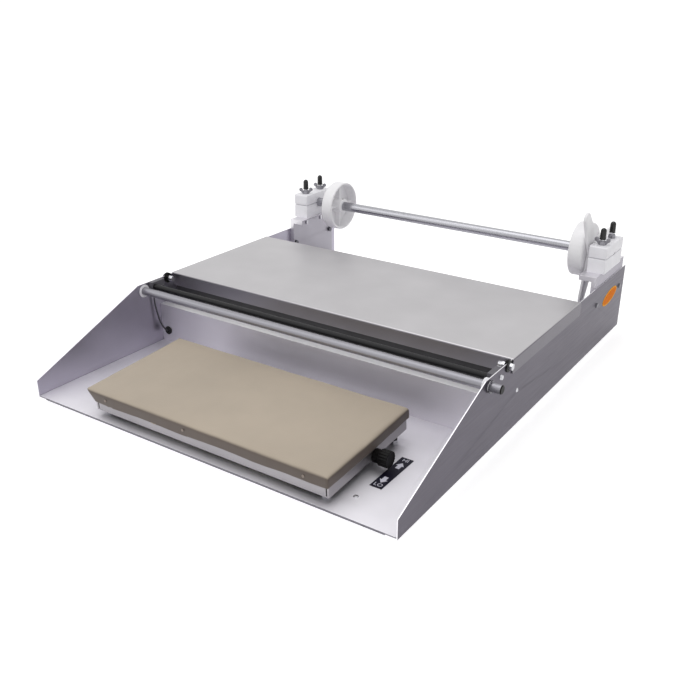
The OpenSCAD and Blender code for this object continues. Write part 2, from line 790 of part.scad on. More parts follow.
module film_roller() {
    length = body_w + left_roller_proud + roller_proud;
    color("#bfbfc3") framed() along_x(-half_w - left_roller_proud, roller_y, roller_z) difference() {
        cylinder(r = roller_r, h = length);
        translate([0, 0, -1]) cylinder(r = roller_r - roller_wall, h = length + 2);
    }
}

module roller_plug(proud) {
    depth = 12;
    bore = roller_r - roller_wall;
    along_x(half_w + proud - depth, roller_y, roller_z) rotate_extrude() polygon([
        [0, 0], [bore - 0.5, 0], [bore, 0.5], [bore, depth], [roller_r, depth],
        [roller_r - plug_t / 2, depth + plug_t], [0, depth + plug_t]
    ]);
}

module roller_plugs() {
    color("#6e6e74") framed() {
        roller_plug(roller_proud);
        mirror([1, 0, 0]) roller_plug(left_roller_proud);
    }
}

module roller_rings() {
    color("#8f8f95") framed() both_sides()
        along_x(half_w + bush_proud + run_gap, roller_y, roller_z) difference() {
            cylinder(r = roller_r + ring_rim, h = ring_t);
            translate([0, 0, -1]) cylinder(r = roller_r, h = ring_t + 2);
        }
}

// bush in the right panel, with its flange inside the panel
module roller_bush(flange_t) {
    along_x(inner_x - flange_t, roller_y, roller_z) difference() {
        union() {
            cylinder(r = bush_r + bush_rim, h = flange_t);
            cylinder(r = bush_r, h = flange_t + sheet + bush_proud);
        }
        translate([0, 0, -1]) cylinder(r = roller_r + run_gap, h = flange_t + sheet + bush_proud + 2);
    }
}

module roller_bushes() {
    color("#f0f0f0") framed() {
        roller_bush(bush_flange_t);
        mirror([1, 0, 0]) roller_bush(left_flange_t);
    }
}

module cutter_rod() {
    half = inner_x - holder_t + rod_seat;
    color("#17171a") framed() along_x(-half, rod_y, rod_z) cylinder(r = rod_r, h = 2 * half);
}

module rod_holders() {
    y0 = rod_y - rod_r - holder_wall;
    y1 = holder_screw_y + 4;
    z0 = rod_z - holder_h / 2;
    color("#1d1d20") framed() both_sides() difference() {
        translate([inner_x - holder_t, y0, z0]) cube([holder_t, y1 - y0, holder_h]);
        along_x(inner_x - holder_t - 1, rod_y, rod_z) cylinder(r = rod_r, h = rod_seat + 1);
        along_x(inner_x - holder_t - 1, holder_screw_y, holder_screw_z)
            cylinder(r = holder_screw_r, h = holder_t + 2);
    }
}

module holder_screws() {
    color("#c9c8cc") framed() both_sides() {
        along_x(inner_x - holder_t, holder_screw_y, holder_screw_z)
            cylinder(r = holder_screw_r, h = holder_t + sheet);
        along_x(half_w, holder_screw_y, holder_screw_z)
            cylinder(r1 = 2 * holder_screw_r, r2 = 1.5 * holder_screw_r, h = screw_head_h);
    }
}

// insulated terminal: washer, panel, washer, with a nut inside and a head outside
washer_out_x = half_w + washer_t;
washer_in_x = inner_x - washer_t;

module terminal_washers() {
    color("#1a1a1c") framed() both_sides() {
        for (x = [half_w, washer_in_x]) along_x(x, terminal_y, terminal_z) difference() {
            cylinder(r = washer_r, h = washer_t);
            translate([0, 0, -1]) cylinder(r = terminal_r, h = washer_t + 2);
        }
    }
}

module terminal_bolts() {
    inside = washer_in_x - 2 * hex_h;
    color("#d2d2d4") framed() both_sides() {
        along_x(inside, terminal_y, terminal_z) cylinder(r = terminal_r, h = washer_out_x - inside);
        along_x(washer_out_x, terminal_y, terminal_z)
            cylinder(r = terminal_r * hex_ratio, h = hex_h, $fn = 6);
    }
}

module terminal_nuts() {
    nut = terminal_r * hex_ratio;
    color("#dcdcde") framed() both_sides() difference() {
        union() {
            along_x(washer_in_x - hex_h, terminal_y, terminal_z) cylinder(r = nut, h = hex_h, $fn = 6);
            along_x(washer_in_x - 2 * hex_h, terminal_y, terminal_z) cylinder(r = nut * 0.86, h = hex_h);
        }
        along_x(washer_in_x - 2 * hex_h - 1, terminal_y, terminal_z)
            cylinder(r = terminal_r, h = 2 * hex_h + 2);
    }
}

// ---------------------------------------------------------------- cutter lead

function unit(v) = v / norm(v);
function tangent(p, i) = unit(p[min(i + 1, len(p) - 1)] - p[max(i - 1, 0)]);
// rings stand square to the path, turned about the X axis
function ring(p, i, r, n) =
    let (t = tangent(p, i), u = unit(cross(t, [1, 0, 0])), v = cross(t, u))
    [for (k = [0:n - 1]) p[i] + r * (cos(360 * k / n) * u + sin(360 * k / n) * v)];

module tube_along(p, r, n) {
    rings = [for (i = [0:len(p) - 1]) each ring(p, i, r, n)];
    last = len(p) - 1;
    polyhedron(points = rings, faces = concat(
        [[for (k = [0:n - 1]) k]],
        [for (i = [0:last - 1], k = [0:n - 1])
            [i * n + (k + 1) % n, i * n + k, (i + 1) * n + k, (i + 1) * n + (k + 1) % n]],
        [[for (k = [n - 1:-1:0]) last * n + k]]
    ));
}

module cutter_lead() {
    color("#3a3a40") framed() translate([-inner_x, 0, 0]) tube_along(lead_route, lead_r, lead_sides);
}

module lead_grommet() {
    rim = 1.6;
    color("#101012") framed() translate([lead_hole_x, bay_d - rim, lead_hole_z]) rotate([-90, 0, 0])
        difference() {
            union() {
                cylinder(r = lead_hole_r + rim, h = rim);
                cylinder(r = lead_hole_r, h = rim + wall_sheet + 1);
            }
            translate([0, 0, -1]) cylinder(r = lead_r + 1.2, h = 3 * rim + wall_sheet);
        }
}

// ---------------------------------------------------------------- sealing pad

module on_pan() { framed() translate([pan_x, pan_front, pan_lift]) rotate([pad_tilt, 0, 0]) children(); }

module slab(x0, x1, y0, y1, z0, z1) { translate([x0, y0, z0]) cube([x1 - x0, y1 - y0, z1 - z0]); }

// cross section of the cover: drawn in below on the left, its band is lower on
// the right; low carries the open side of the inner section past the outer one
module cover_section(t, low) {
    draw_in = low * band_slope / (band_h - cover_edge);
    polygon([
        [cover_left + t, cover_top - t], [cover_left + t, cover_top - cover_edge],
        [band_low_left + t + draw_in, band_low_z - low],
        [cover_right - t, cover_top - right_band_h - low], [cover_right - t, cover_top - t]
    ]);
}

module pad_cover() {
    color("#b3a698") on_pan() difference() {
        translate([0, pad_d - cover_overhang, 0]) rotate([90, 0, 0])
            linear_extrude(pad_d) cover_section(0, 0);
        translate([0, pad_d - cover_overhang - cloth_t, 0]) rotate([90, 0, 0])
            linear_extrude(pad_d - 2 * cloth_t) cover_section(cloth_t, 1);
    }
}

module pad_sponge() {
    g = cloth_t + plate_side_gap;
    // the left side of the cover draws in below its top edge
    draw_in = band_slope * (cover_top - cover_edge - sponge_z) / (band_h - cover_edge);
    color("#8a5a4a") on_pan() slab(cover_left + draw_in + g, cover_right - g, g - cover_overhang,
        pad_d - cover_overhang - g, sponge_z, sponge_z + sponge_t);
}

module heated_plate() {
    color("#a9abb0") on_pan() slab(max(-pan_half, band_low_left + cloth_t + plate_side_gap),
        min(pan_half, cover_right - cloth_t - plate_side_gap), 0, pan_d, plate_z, plate_z + plate_t);
}

module heating_element() {
    inset = 12;
    color("#9b8a5a") on_pan()
        slab(inset - pan_half, pan_half - inset, inset, pan_d - inset, pan_h, pan_h + element_t);
}

module pad_pan() {
    slit_land = 2;
    color("#cfcdd2") on_pan() difference() {
        slab(-pan_half, pan_half, 0, pan_d, 0, pan_h);
        slab(pan_sheet - pan_half, pan_half - pan_sheet, pan_sheet, pan_d - pan_sheet,
            -1, pan_h - pan_sheet);
        // slits beside the folded corners
        for (sx = [-1, 1], y = [0, pan_d])
            translate([sx * (pan_half - pan_slit_inset), y, pan_h / 2])
                cube([pan_slit_w, 3 * pan_sheet, pan_h - 2 * slit_land], center = true);
        translate([pan_half, (dial_y - pan_front) / cos(pad_tilt), dial_local_z]) rotate([0, 90, 0])
            cylinder(r = spindle_r + 1, h = 4 * pan_sheet, center = true);
    }
}

module band_rivets() {
    middle = (band_low_left + cover_right) / 2;
    edge_z = cover_top - (band_h + right_band_h) / 4;
    color("#4f4640") on_pan()
        for (x = [band_low_left + rivet_inset, middle - rivet_shift, cover_right - right_rivet_inset])
            translate([x, -cover_overhang, edge_z]) rotate([90, 0, 0])
                cylinder(r1 = rivet_r * 0.7, r2 = rivet_r * 0.4, h = rivet_h * 0.6);
}

// places of the spacers, from the base plate up
module at_legs() {
    framed() for (sx = [-1, 1], y = [pan_front + leg_inset, pan_front + pan_d - leg_inset])
        translate([pan_x + sx * (pan_half - leg_inset), y, floor_z]) children();
}

module pad_legs() {
    color("#161618") difference() {
        at_legs() translate([0, 0, leg_nut_h]) cylinder(r = leg_r, h = 2 * pan_h + pan_lift);
        on_pan() slab(-pad_w, pad_w, -pad_d, 2 * pad_d, pan_h - pan_sheet, 4 * pan_h + pan_lift);
    }
}

module leg_nuts() { color("#cfcfd2") at_legs() cylinder(r = leg_r + 1, h = leg_nut_h, $fn = 6); }

module insulation_board() {
    color("#d9d5c8") on_pan() slab(board_inset - pan_half, pan_half - board_inset - thermostat_len,
        board_inset / 2, pan_d - board_inset / 2, pan_h - pan_sheet - board_t, pan_h - pan_sheet);
}

// ---------------------------------------------------------------- thermostat

module on_dial() {
    on_pan() translate([0, (dial_y - pan_front) / cos(pad_tilt), dial_local_z]) children();
}

module thermostat_body() {
    color("#3b3b40") on_dial() {
        translate([pan_half - pan_sheet - thermostat_len, -thermostat_d / 2, -thermostat_h / 2])
            cube([thermostat_len, thermostat_d, thermostat_h]);
        along_x(pan_half - pan_sheet - 1, 0, 0) cylinder(r = spindle_r, h = knob_len / 2 + pan_sheet);
    }
}

// a neck beside the pan and a fluted grip at the outer end
module thermostat_knob() {
    neck_len = knob_len * 0.4;
    flute_r = knob_r * sin(180 / knob_flutes) * 0.6;
    color("#121214") on_dial() along_x(dial_x0, 0, 0) difference() {
        union() {
            cylinder(r = knob_r * 0.8, h = knob_len / 2);
            translate([0, 0, neck_len]) cylinder(r = knob_r, h = knob_len - neck_len - 1);
            translate([0, 0, knob_len - 1]) cylinder(r1 = knob_r, r2 = knob_r - 1, h = 1);
        }
        for (k = [0:knob_flutes - 1]) rotate([0, 0, 360 * k / knob_flutes])
            translate([knob_r, 0, neck_len - 1]) cylinder(r = flute_r, h = knob_len, $fn = 16);
        translate([0, 0, -1]) cylinder(r = spindle_r + run_gap, h = knob_len / 2 + 1);
    }
}

module dial_plate() {
    color("#18182a") framed() translate([dial_plate_x, dial_y - label_len / 2, floor_z])
        cube([label_w, label_len, label_t]);
}

module base_screw() {
    color("#d0d0d2") framed()
        translate([dial_plate_x, dial_y - label_len / 2 - base_screw_lead, floor_z])
            cylinder(r1 = 3.4, r2 = 2.2, h = screw_head_h / 2);
}

// ---------------------------------------------------------------- sticker

module side_sticker() {
    points = 48;
    color("#f08a1e") framed() side_profile(half_w, 0.4)
        translate([axis_y + sticker_lead, side_h - sticker_drop])
        polygon([for (k = [0:points - 1])
            [sticker_w / 2 * cos(360 * k / points), sticker_h / 2 * sin(360 * k / points)]]);
}

// ---------------------------------------------------------------- electrical

// frame of a fitting on the rear wall: Z points to the rear
module on_rear_wall(x) {
    framed() translate([x, rear_wall_y + wall_sheet, service_h]) rotate([-90, 0, 0]) children();
}

rocker_gap = 0.4;
bezel_t = 2;
bezel_rim = 1.5;
rocker_w = switch_w - 6;
rocker_h = switch_h - 6;
switch_depth = 18;
switch_fit = 0.2;
pivot_r = 1.2;
pivot_len = rocker_w + 2 * rocker_gap + 3.6;

module switch_housing() {
    color("#111113") on_rear_wall(switch_x) difference() {
        union() {
            translate([-switch_w / 2 - bezel_rim, -switch_h / 2 - bezel_rim, 0])
                cube([switch_w + 2 * bezel_rim, switch_h + 2 * bezel_rim, bezel_t]);
            translate([switch_fit - switch_w / 2, switch_fit - switch_h / 2, -switch_depth])
                cube([switch_w - 2 * switch_fit, switch_h - 2 * switch_fit, switch_depth]);
        }
        translate([-rocker_w / 2 - rocker_gap, -rocker_h / 2 - rocker_gap, -switch_depth / 2])
            cube([rocker_w + 2 * rocker_gap, rocker_h + 2 * rocker_gap, switch_depth]);
        along_x(-pivot_len / 2 - run_gap, 0, 0) cylinder(r = pivot_r + run_gap, h = pivot_len + 2 * run_gap);
    }
}

// the rocker turns on its two pins about a line across the switch
module switch_rocker() {
    swing = rocker_h / 2 - 0.6;
    crest = 2.6;
    dip = 1.4;
    root = 3;
    color("#8e1b1b") on_rear_wall(switch_x) rotate([rocker_tilt, 0, 0]) {
        translate([-rocker_w / 2, 0, 0]) rotate([90, 0, 90]) linear_extrude(rocker_w) polygon([
            [-swing, 1], [-swing + 0.5, bezel_t + crest], [0, bezel_t + dip],
            [swing - 0.5, bezel_t + crest], [swing, 1], [swing * 0.6, -root], [-swing * 0.6, -root]
        ]);
        along_x(-pivot_len / 2, 0, 0) cylinder(r = pivot_r, h = pivot_len);
    }
}

module cable_gland() {
    inside = 9;
    nut_h = 5;
    cap_h = 6;
    color("#17171a") on_rear_wall(gland_x) difference() {
        union() {
            translate([0, 0, -inside]) cylinder(r = gland_r - 2, h = inside + 1);
            translate([0, 0, -wall_sheet - nut_h]) cylinder(r = gland_r + 2, h = nut_h, $fn = 6);
            cylinder(r = gland_r + 2, h = cap_h, $fn = 6);
            translate([0, 0, cap_h]) cylinder(r1 = gland_r, r2 = gland_r * 0.7, h = gland_len - cap_h);
        }
        translate([0, 0, -inside - 1]) cylinder(r = gland_bore_r, h = inside + gland_len + 2);
    }
}

transformer_y = (table_y + rear_wall_y) / 2;

module transformer_core() {
    foot_t = 2;
    color("#55565c") framed() translate([0, transformer_y, floor_z]) difference() {
        union() {
            translate([-core_w / 2, -core_d / 2, foot_t]) cube([core_w, core_d, core_h - foot_t]);
            translate([-core_w / 2 - 12, -core_d / 2, 0]) cube([core_w + 24, core_d, foot_t]);
        }
        for (sx = [-1, 1]) translate([sx * core_w / 4, 0, core_h / 2 + foot_t / 2])
            cube([core_w / 6, core_d + 2, core_h - foot_t - 2 * core_w / 6], center = true);
    }
}

module transformer_coils() {
    out = 7;
    h = core_h - 2 - 2 * core_w / 6 - 2;
    color("#c8a24a") framed() translate([0, transformer_y, floor_z + core_h / 2 + 1]) difference() {
        cube([2 * core_w / 3 - 1, core_d + 2 * out, h], center = true);
        cube([core_w / 3, core_d, h + 2], center = true);
        for (sx = [-1, 1]) translate([sx * core_w / 2, 0, 0])
            cube([core_w / 3, core_d, h + 2], center = true);
    }
}

strip_space = 50;

module terminal_strip() {
    ways = 6;
    pitch = 12;
    depth = 20;
    height = 15;
    hole_r = 2.2;
    color("#e8e4da") framed()
        translate([core_w + strip_space, transformer_y - ways * pitch / 2, floor_z])
            for (k = [0:ways - 1]) translate([0, k * pitch, 0]) difference() {
                cube([depth, pitch - 1, height]);
                for (x = [depth * 0.3, depth * 0.7])
                    translate([x, (pitch - 1) / 2, height / 4]) cylinder(r = hole_r, h = height);
            }
}

base_plate();
left_side_panel();
right_side_panel();
riser_panel();
rear_wall();
table_cover();
panel_rivets();
rubber_feet();
left_bracket();
right_bracket();
bracket_screws();
left_lower_block();
right_lower_block();
left_upper_block();
right_upper_block();
clamp_studs();
stud_nuts();
stud_caps();
left_front_wing_nut();
left_rear_wing_nut();
right_front_wing_nut();
right_rear_wing_nut();
roll_shaft();
left_bobbin();
bobbin_set_screw();
right_bobbin();
wing_lock();
film_roller();
roller_plugs();
roller_rings();
roller_bushes();
cutter_rod();
rod_holders();
holder_screws();
terminal_bolts();
terminal_washers();
terminal_nuts();
cutter_lead();
lead_grommet();
pad_cover();
pad_sponge();
heated_plate();
heating_element();
insulation_board();
pad_pan();
band_rivets();
pad_legs();
leg_nuts();
thermostat_body();
thermostat_knob();
dial_plate();
base_screw();
side_sticker();
switch_housing();
switch_rocker();
cable_gland();
transformer_core();
transformer_coils();
terminal_strip();
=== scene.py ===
"""Looks of a hand film wrapping machine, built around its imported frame.

Lengths are in millimetres in the machine's own frame (X across, Y from front to rear, Z up, with
the origin under the middle of the machine), and MM turns them to metres where Blender needs them.
"""

import logging
import math
from contextlib import contextmanager
from dataclasses import dataclass, field
from enum import Enum
from typing import Callable, Iterator, Sequence

import bmesh
import bpy
from mathutils import Matrix, Vector, noise


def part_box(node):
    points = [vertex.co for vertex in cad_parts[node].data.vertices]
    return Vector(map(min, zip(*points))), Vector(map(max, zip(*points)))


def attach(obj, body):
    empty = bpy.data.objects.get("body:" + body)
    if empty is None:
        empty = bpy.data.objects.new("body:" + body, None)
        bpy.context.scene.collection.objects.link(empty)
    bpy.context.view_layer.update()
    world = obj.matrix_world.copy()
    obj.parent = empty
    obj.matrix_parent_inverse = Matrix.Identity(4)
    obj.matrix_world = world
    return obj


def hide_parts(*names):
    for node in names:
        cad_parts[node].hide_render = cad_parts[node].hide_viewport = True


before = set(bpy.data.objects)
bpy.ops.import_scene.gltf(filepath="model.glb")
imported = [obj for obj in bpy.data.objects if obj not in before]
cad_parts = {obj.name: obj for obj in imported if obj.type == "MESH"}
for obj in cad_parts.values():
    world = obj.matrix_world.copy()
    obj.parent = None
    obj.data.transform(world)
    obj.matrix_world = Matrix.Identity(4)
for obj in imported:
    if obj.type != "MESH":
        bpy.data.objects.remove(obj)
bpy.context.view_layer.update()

MM = 0.001
BODY_DEPTH = 730.0
FOOT_HEIGHT = 8.0
PAN_CORNER = (7.2, 11.0, 10.0)
PAN_TILT = 3.2
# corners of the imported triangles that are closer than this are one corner
WELD_MM = 0.002
# an element that is closer than this to a plane lies in it
NEAR = 0.1 * MM
WHITE = (1.0, 1.0, 1.0, 1.0)
# a noise keeps mostly to this part of its range
NOISE_MIDDLE = {"From_Min": 0.3, "From_Max": 0.7}
TIMES = {"operation": "MULTIPLY"}
SCALE = {"operation": "SCALE"}
COLOURS = {"data_type": "RGBA"}
LOG = logging.getLogger("wrapping_machine")

Point = tuple[float, float, float]


class Axis(Enum):
    """Direction of a grain, of a turned form or of a face."""

    X = 0
    Y = 1
    Z = 2


class Element(Enum):
    """Kind of mesh element that is picked out in edit mode."""

    VERTEX = "VERT"
    EDGE = "EDGE"
    FACE = "FACE"


# ------------------------------------------------------------------ places and selection


def machine_point(x: float, y: float, z: float) -> Vector:
    """Turns a point of the sheet metal drawing into the row frame.

    Args:
        x: Distance from the middle of the machine, in millimetres.
        y: Distance back from the front edge, in millimetres.
        z: Height above the underside of the frame, in millimetres.

    Returns:
        The point in metres in the row frame.
    """
    return Vector((x, y - BODY_DEPTH / 2, z + FOOT_HEIGHT)) * MM


# place of the tilted pan: its pieces are modelled level and then put there
PAN_PLACE = (Matrix.Translation(machine_point(*PAN_CORNER))
             @ Matrix.Rotation(math.radians(PAN_TILT), 4, "X"))


def deselect_all() -> None:
    """Leaves nothing selected, so that an operator acts only on what is picked next."""
    for item in bpy.context.selected_objects:
        item.select_set(False)


def pick(piece: bpy.types.Object) -> None:
    """Makes one piece the only selected and the active object."""
    deselect_all()
    piece.select_set(True)
    bpy.context.view_layer.objects.active = piece


@contextmanager
def edit_mesh(piece: bpy.types.Object) -> Iterator[None]:
    """Holds a piece in edit mode for the steps inside, with everything selected at their start."""
    pick(piece)
    bpy.ops.object.mode_set(mode="EDIT")
    bpy.ops.mesh.select_all(action="SELECT")
    yield
    bpy.ops.object.mode_set(mode="OBJECT")


def select_where(
    piece: bpy.types.Object, test: Callable[[Vector], bool], kind: Element = Element.FACE
) -> None:
    """Selects elements of a mesh in edit mode by the place of their middle.

    Args:
        piece: The object that is in edit mode.
        test: Tells from a middle point, in metres, whether an element is wanted.
        kind: Kind of the elements.
    """
    bpy.ops.mesh.select_mode(type=kind.value)
    bpy.ops.mesh.select_all(action="DESELECT")
    mesh = bmesh.from_edit_mesh(piece.data)
    elements = {Element.VERTEX: mesh.verts, Element.EDGE: mesh.edges, Element.FACE: mesh.faces}
    for element in elements[kind]:
        corners = [element] if kind is Element.VERTEX else element.verts
        if test(sum((corner.co for corner in corners), Vector()) / len(corners)):
            element.select_set(True)
    mesh.select_flush_mode()
    bmesh.update_edit_mesh(piece.data)


def extrude(step: Sequence[float]) -> None:
    """Extrudes what is selected by a step in metres."""
    bpy.ops.mesh.extrude_region_move(TRANSFORM_OT_translate={"value": step})


def widen(share: Sequence[float], middle: Sequence[float]) -> None:
    """Scales what is selected about a middle point."""
    bpy.ops.transform.resize(value=share, center_override=middle)


def bake_place(piece: bpy.types.Object, place: Matrix | None = None) -> None:
    """Moves the piece's place, turn and scale into its mesh, or first puts it at the given place."""
    if place is not None:
        piece.matrix_world = place
    pick(piece)
    bpy.ops.object.transform_apply(location=True, rotation=True, scale=True)


def apply_modifiers(piece: bpy.types.Object) -> None:
    """Applies every modifier of a piece, in order."""
    pick(piece)
    for modifier in list(piece.modifiers):
        bpy.ops.object.modifier_apply(modifier=modifier.name)


def add_bevel(
    piece: bpy.types.Object, width: float, segments: int = 2, angle: float = 30.0
) -> bpy.types.Modifier:
    """Adds a bevel on the sharp edges of a piece.

    Args:
        piece: The piece to soften.
        width: Width of the bevel in millimetres.
        segments: Number of faces across the bevel.
        angle: Edges sharper than this many degrees are softened.

    Returns:
        The bevel.
    """
    bevel = piece.modifiers.new("edge_break", "BEVEL")
    bevel.width = width * MM
    bevel.segments = segments
    bevel.limit_method = "ANGLE"
    bevel.angle_limit = math.radians(angle)
    bevel.use_clamp_overlap = True
    return bevel


def shade_by_angle(piece: bpy.types.Object, angle: float = 35.0) -> None:
    """Shades a piece smooth except at edges sharper than the angle, in degrees."""
    pick(piece)
    bpy.ops.object.shade_smooth_by_angle(angle=math.radians(angle))


def make_normals_outward(piece: bpy.types.Object, merge: float = 0.001) -> None:
    """Merges doubles closer than merge millimetres and turns every face outwards."""
    with edit_mesh(piece):
        bpy.ops.mesh.remove_doubles(threshold=merge * MM)
        bpy.ops.mesh.normals_make_consistent(inside=False)


def mount_piece(
    piece: bpy.types.Object, name: str, finish: "Finish", body: str,
    nodes: Sequence[str] = ()
) -> None:
    """Names a piece, dresses it and fastens it to a body of the machine.

    Args:
        piece: The finished piece, with its place in its mesh.
        name: The piece's name.
        finish: Its finish.
        body: The body that it moves with.
        nodes: The solids that it stands for.
    """
    piece.name = name
    piece.data.name = name
    piece.data.materials.clear()
    piece.data.materials.append(finish.material())
    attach(piece, body)
    if nodes:
        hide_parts(*nodes)
    LOG.info("%s rides on %s", name, body)


def dress_node(node: str, finish: "Finish") -> None:
    """Gives a carried-over solid its finish."""
    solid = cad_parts[node]
    solid.data.materials.clear()
    solid.data.materials.append(finish.material())
    for polygon in solid.data.polygons:
        polygon.material_index = 0
    LOG.info("%s is dressed", node)


def softened_copy(node: str, edge: float, flat: float = 0.6) -> bpy.types.Object:
    """Copies a solid, merges its loose triangles and breaks its sharp edges.

    Args:
        node: The solid to copy.
        edge: Width of the broken edges in millimetres.
        flat: Faces that differ by less than this many degrees become one.

    Returns:
        The new piece, at the place of the solid.
    """
    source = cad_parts[node]
    piece = bpy.data.objects.new(node + "_soft", source.data.copy())
    bpy.context.scene.collection.objects.link(piece)
    with edit_mesh(piece):
        bpy.ops.mesh.remove_doubles(threshold=WELD_MM * MM)
        bpy.ops.mesh.dissolve_limited(angle_limit=math.radians(flat))
    add_bevel(piece, edge, segments=3)
    apply_modifiers(piece)
    shade_by_angle(piece)
    return piece


def soften_node(node: str, edge: float) -> None:
    """Breaks a carried-over solid's edges by edge millimetres, with its own mesh left as it was."""
    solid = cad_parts[node]
    joined = solid.modifiers.new("join_triangles", "WELD")
    joined.merge_threshold = WELD_MM * MM
    add_bevel(solid, edge).harden_normals = True


def cube_between(low: Sequence[float], high: Sequence[float]) -> bpy.types.Object:
    """Adds a cube primitive between two corners, in millimetres, as a start for a piece."""
    middle = (Vector(low) + Vector(high)) / 2 * MM
    deselect_all()
    bpy.ops.mesh.primitive_cube_add(size=1.0, location=middle)
    piece = bpy.context.object
    piece.scale = (Vector(high) - Vector(low)) * MM
    bake_place(piece)
    return piece


def turned_form(
    profile: Sequence[tuple[float, float]], start: Vector, axis: Axis, steps: int = 64
) -> bpy.types.Object:
    """Turns a profile about a line, as on a lathe.

    Args:
        profile: Points (distance along the axis from the start, radius), in millimetres.
        start: The point on the axis that the profile starts from, in metres.
        axis: Direction of the axis.
        steps: Number of faces round the piece.

    Returns:
        The turned piece, with its place in its mesh.
    """
    along_axis = Vector([1.0 if k == axis.value else 0.0 for k in range(3)])
    outwards = Vector((1.0, 0.0, 0.0)) if axis is Axis.Z else Vector((0.0, 0.0, 1.0))
    places = [start + along_axis * (a * MM) + outwards * (r * MM) for a, r in profile]
    deselect_all()
    bpy.ops.mesh.primitive_plane_add(size=MM, location=places[0])
    piece = bpy.context.object
    bake_place(piece)
    with edit_mesh(piece):
        bpy.ops.mesh.select_mode(type="VERT")
        bpy.ops.mesh.select_all(action="SELECT")
        bpy.ops.mesh.merge(type="CENTER")
        for last, place in zip(places, places[1:]):
            extrude(place - last)
        bpy.ops.mesh.select_all(action="SELECT")
        bpy.ops.mesh.spin(steps=steps, angle=2 * math.pi, center=start, axis=along_axis)
    make_normals_outward(piece, WELD_MM)
    return piece


# ------------------------------------------------------------------ finishes


def hex_colour(code: str) -> tuple[float, float, float, float]:
    """Turns an sRGB hex code into a linear colour.

    Args:
        code: Six hex digits after a hash sign.

    Returns:
        Linear red, green, blue and an alpha of 1.
    """
    channels = [int(code[i:i + 2], 16) / 255 for i in (1, 3, 5)]
    linear = [c / 12.92 if c <= 0.04045 else ((c + 0.055) / 1.055) ** 2.4 for c in channels]
    return (*linear, 1.0)


def feed(tree: bpy.types.NodeTree, node: bpy.types.Node, **inputs: object) -> None:
    """Sets or links a node's inputs.

    Args:
        tree: The node tree.
        node: The node.
        **inputs: Values, sockets or nodes for its inputs, named with underscores for spaces. A
            node stands for its first output, and a number after two underscores picks an input
            by its place.
    """
    for key, value in inputs.items():
        socket = node.inputs[int(key[2:]) if key.startswith("__") else key.replace("_", " ")]
        if isinstance(value, bpy.types.Node):
            value = value.outputs[0]
        if isinstance(value, bpy.types.NodeSocket):
            tree.links.new(value, socket)
        else:
            socket.default_value = value


def add_node(
    tree: bpy.types.NodeTree, kind: str, settings: dict | None = None, **inputs: object
) -> bpy.types.Node:
    """Adds one node with its settings and its links.

    Args:
        tree: The node tree.
        kind: The node's type, without the words that all shader node types start with.
        settings: Values of the node's own properties.
        **inputs: What goes into its inputs, as feed takes it.

    Returns:
        The new node.
    """
    node = tree.nodes.new("ShaderNode" + kind)
    for key, value in (settings or {}).items():
        setattr(node, key, value)
    feed(tree, node, **inputs)
    return node


@dataclass(frozen=True)
class Finish:
    """A finish with its own material.

    Args:
        name: Name of the material, by what the real one is.
    """

    name: str

    def material(self) -> bpy.types.Material:
        """Returns the material of this finish, made on first use."""
        found = bpy.data.materials.get(self.name)
        return found or self.build()

    def build(self) -> bpy.types.Material:
        """Makes the material. Each finish says how."""
        raise NotImplementedError

    def start(self) -> tuple[bpy.types.Material, bpy.types.NodeTree, bpy.types.Node]:
        """Returns a new material, its tree and its principled shader."""
        made = bpy.data.materials.new(self.name)
        made.use_nodes = True
        tree = made.node_tree
        return made, tree, tree.nodes["Principled BSDF"]


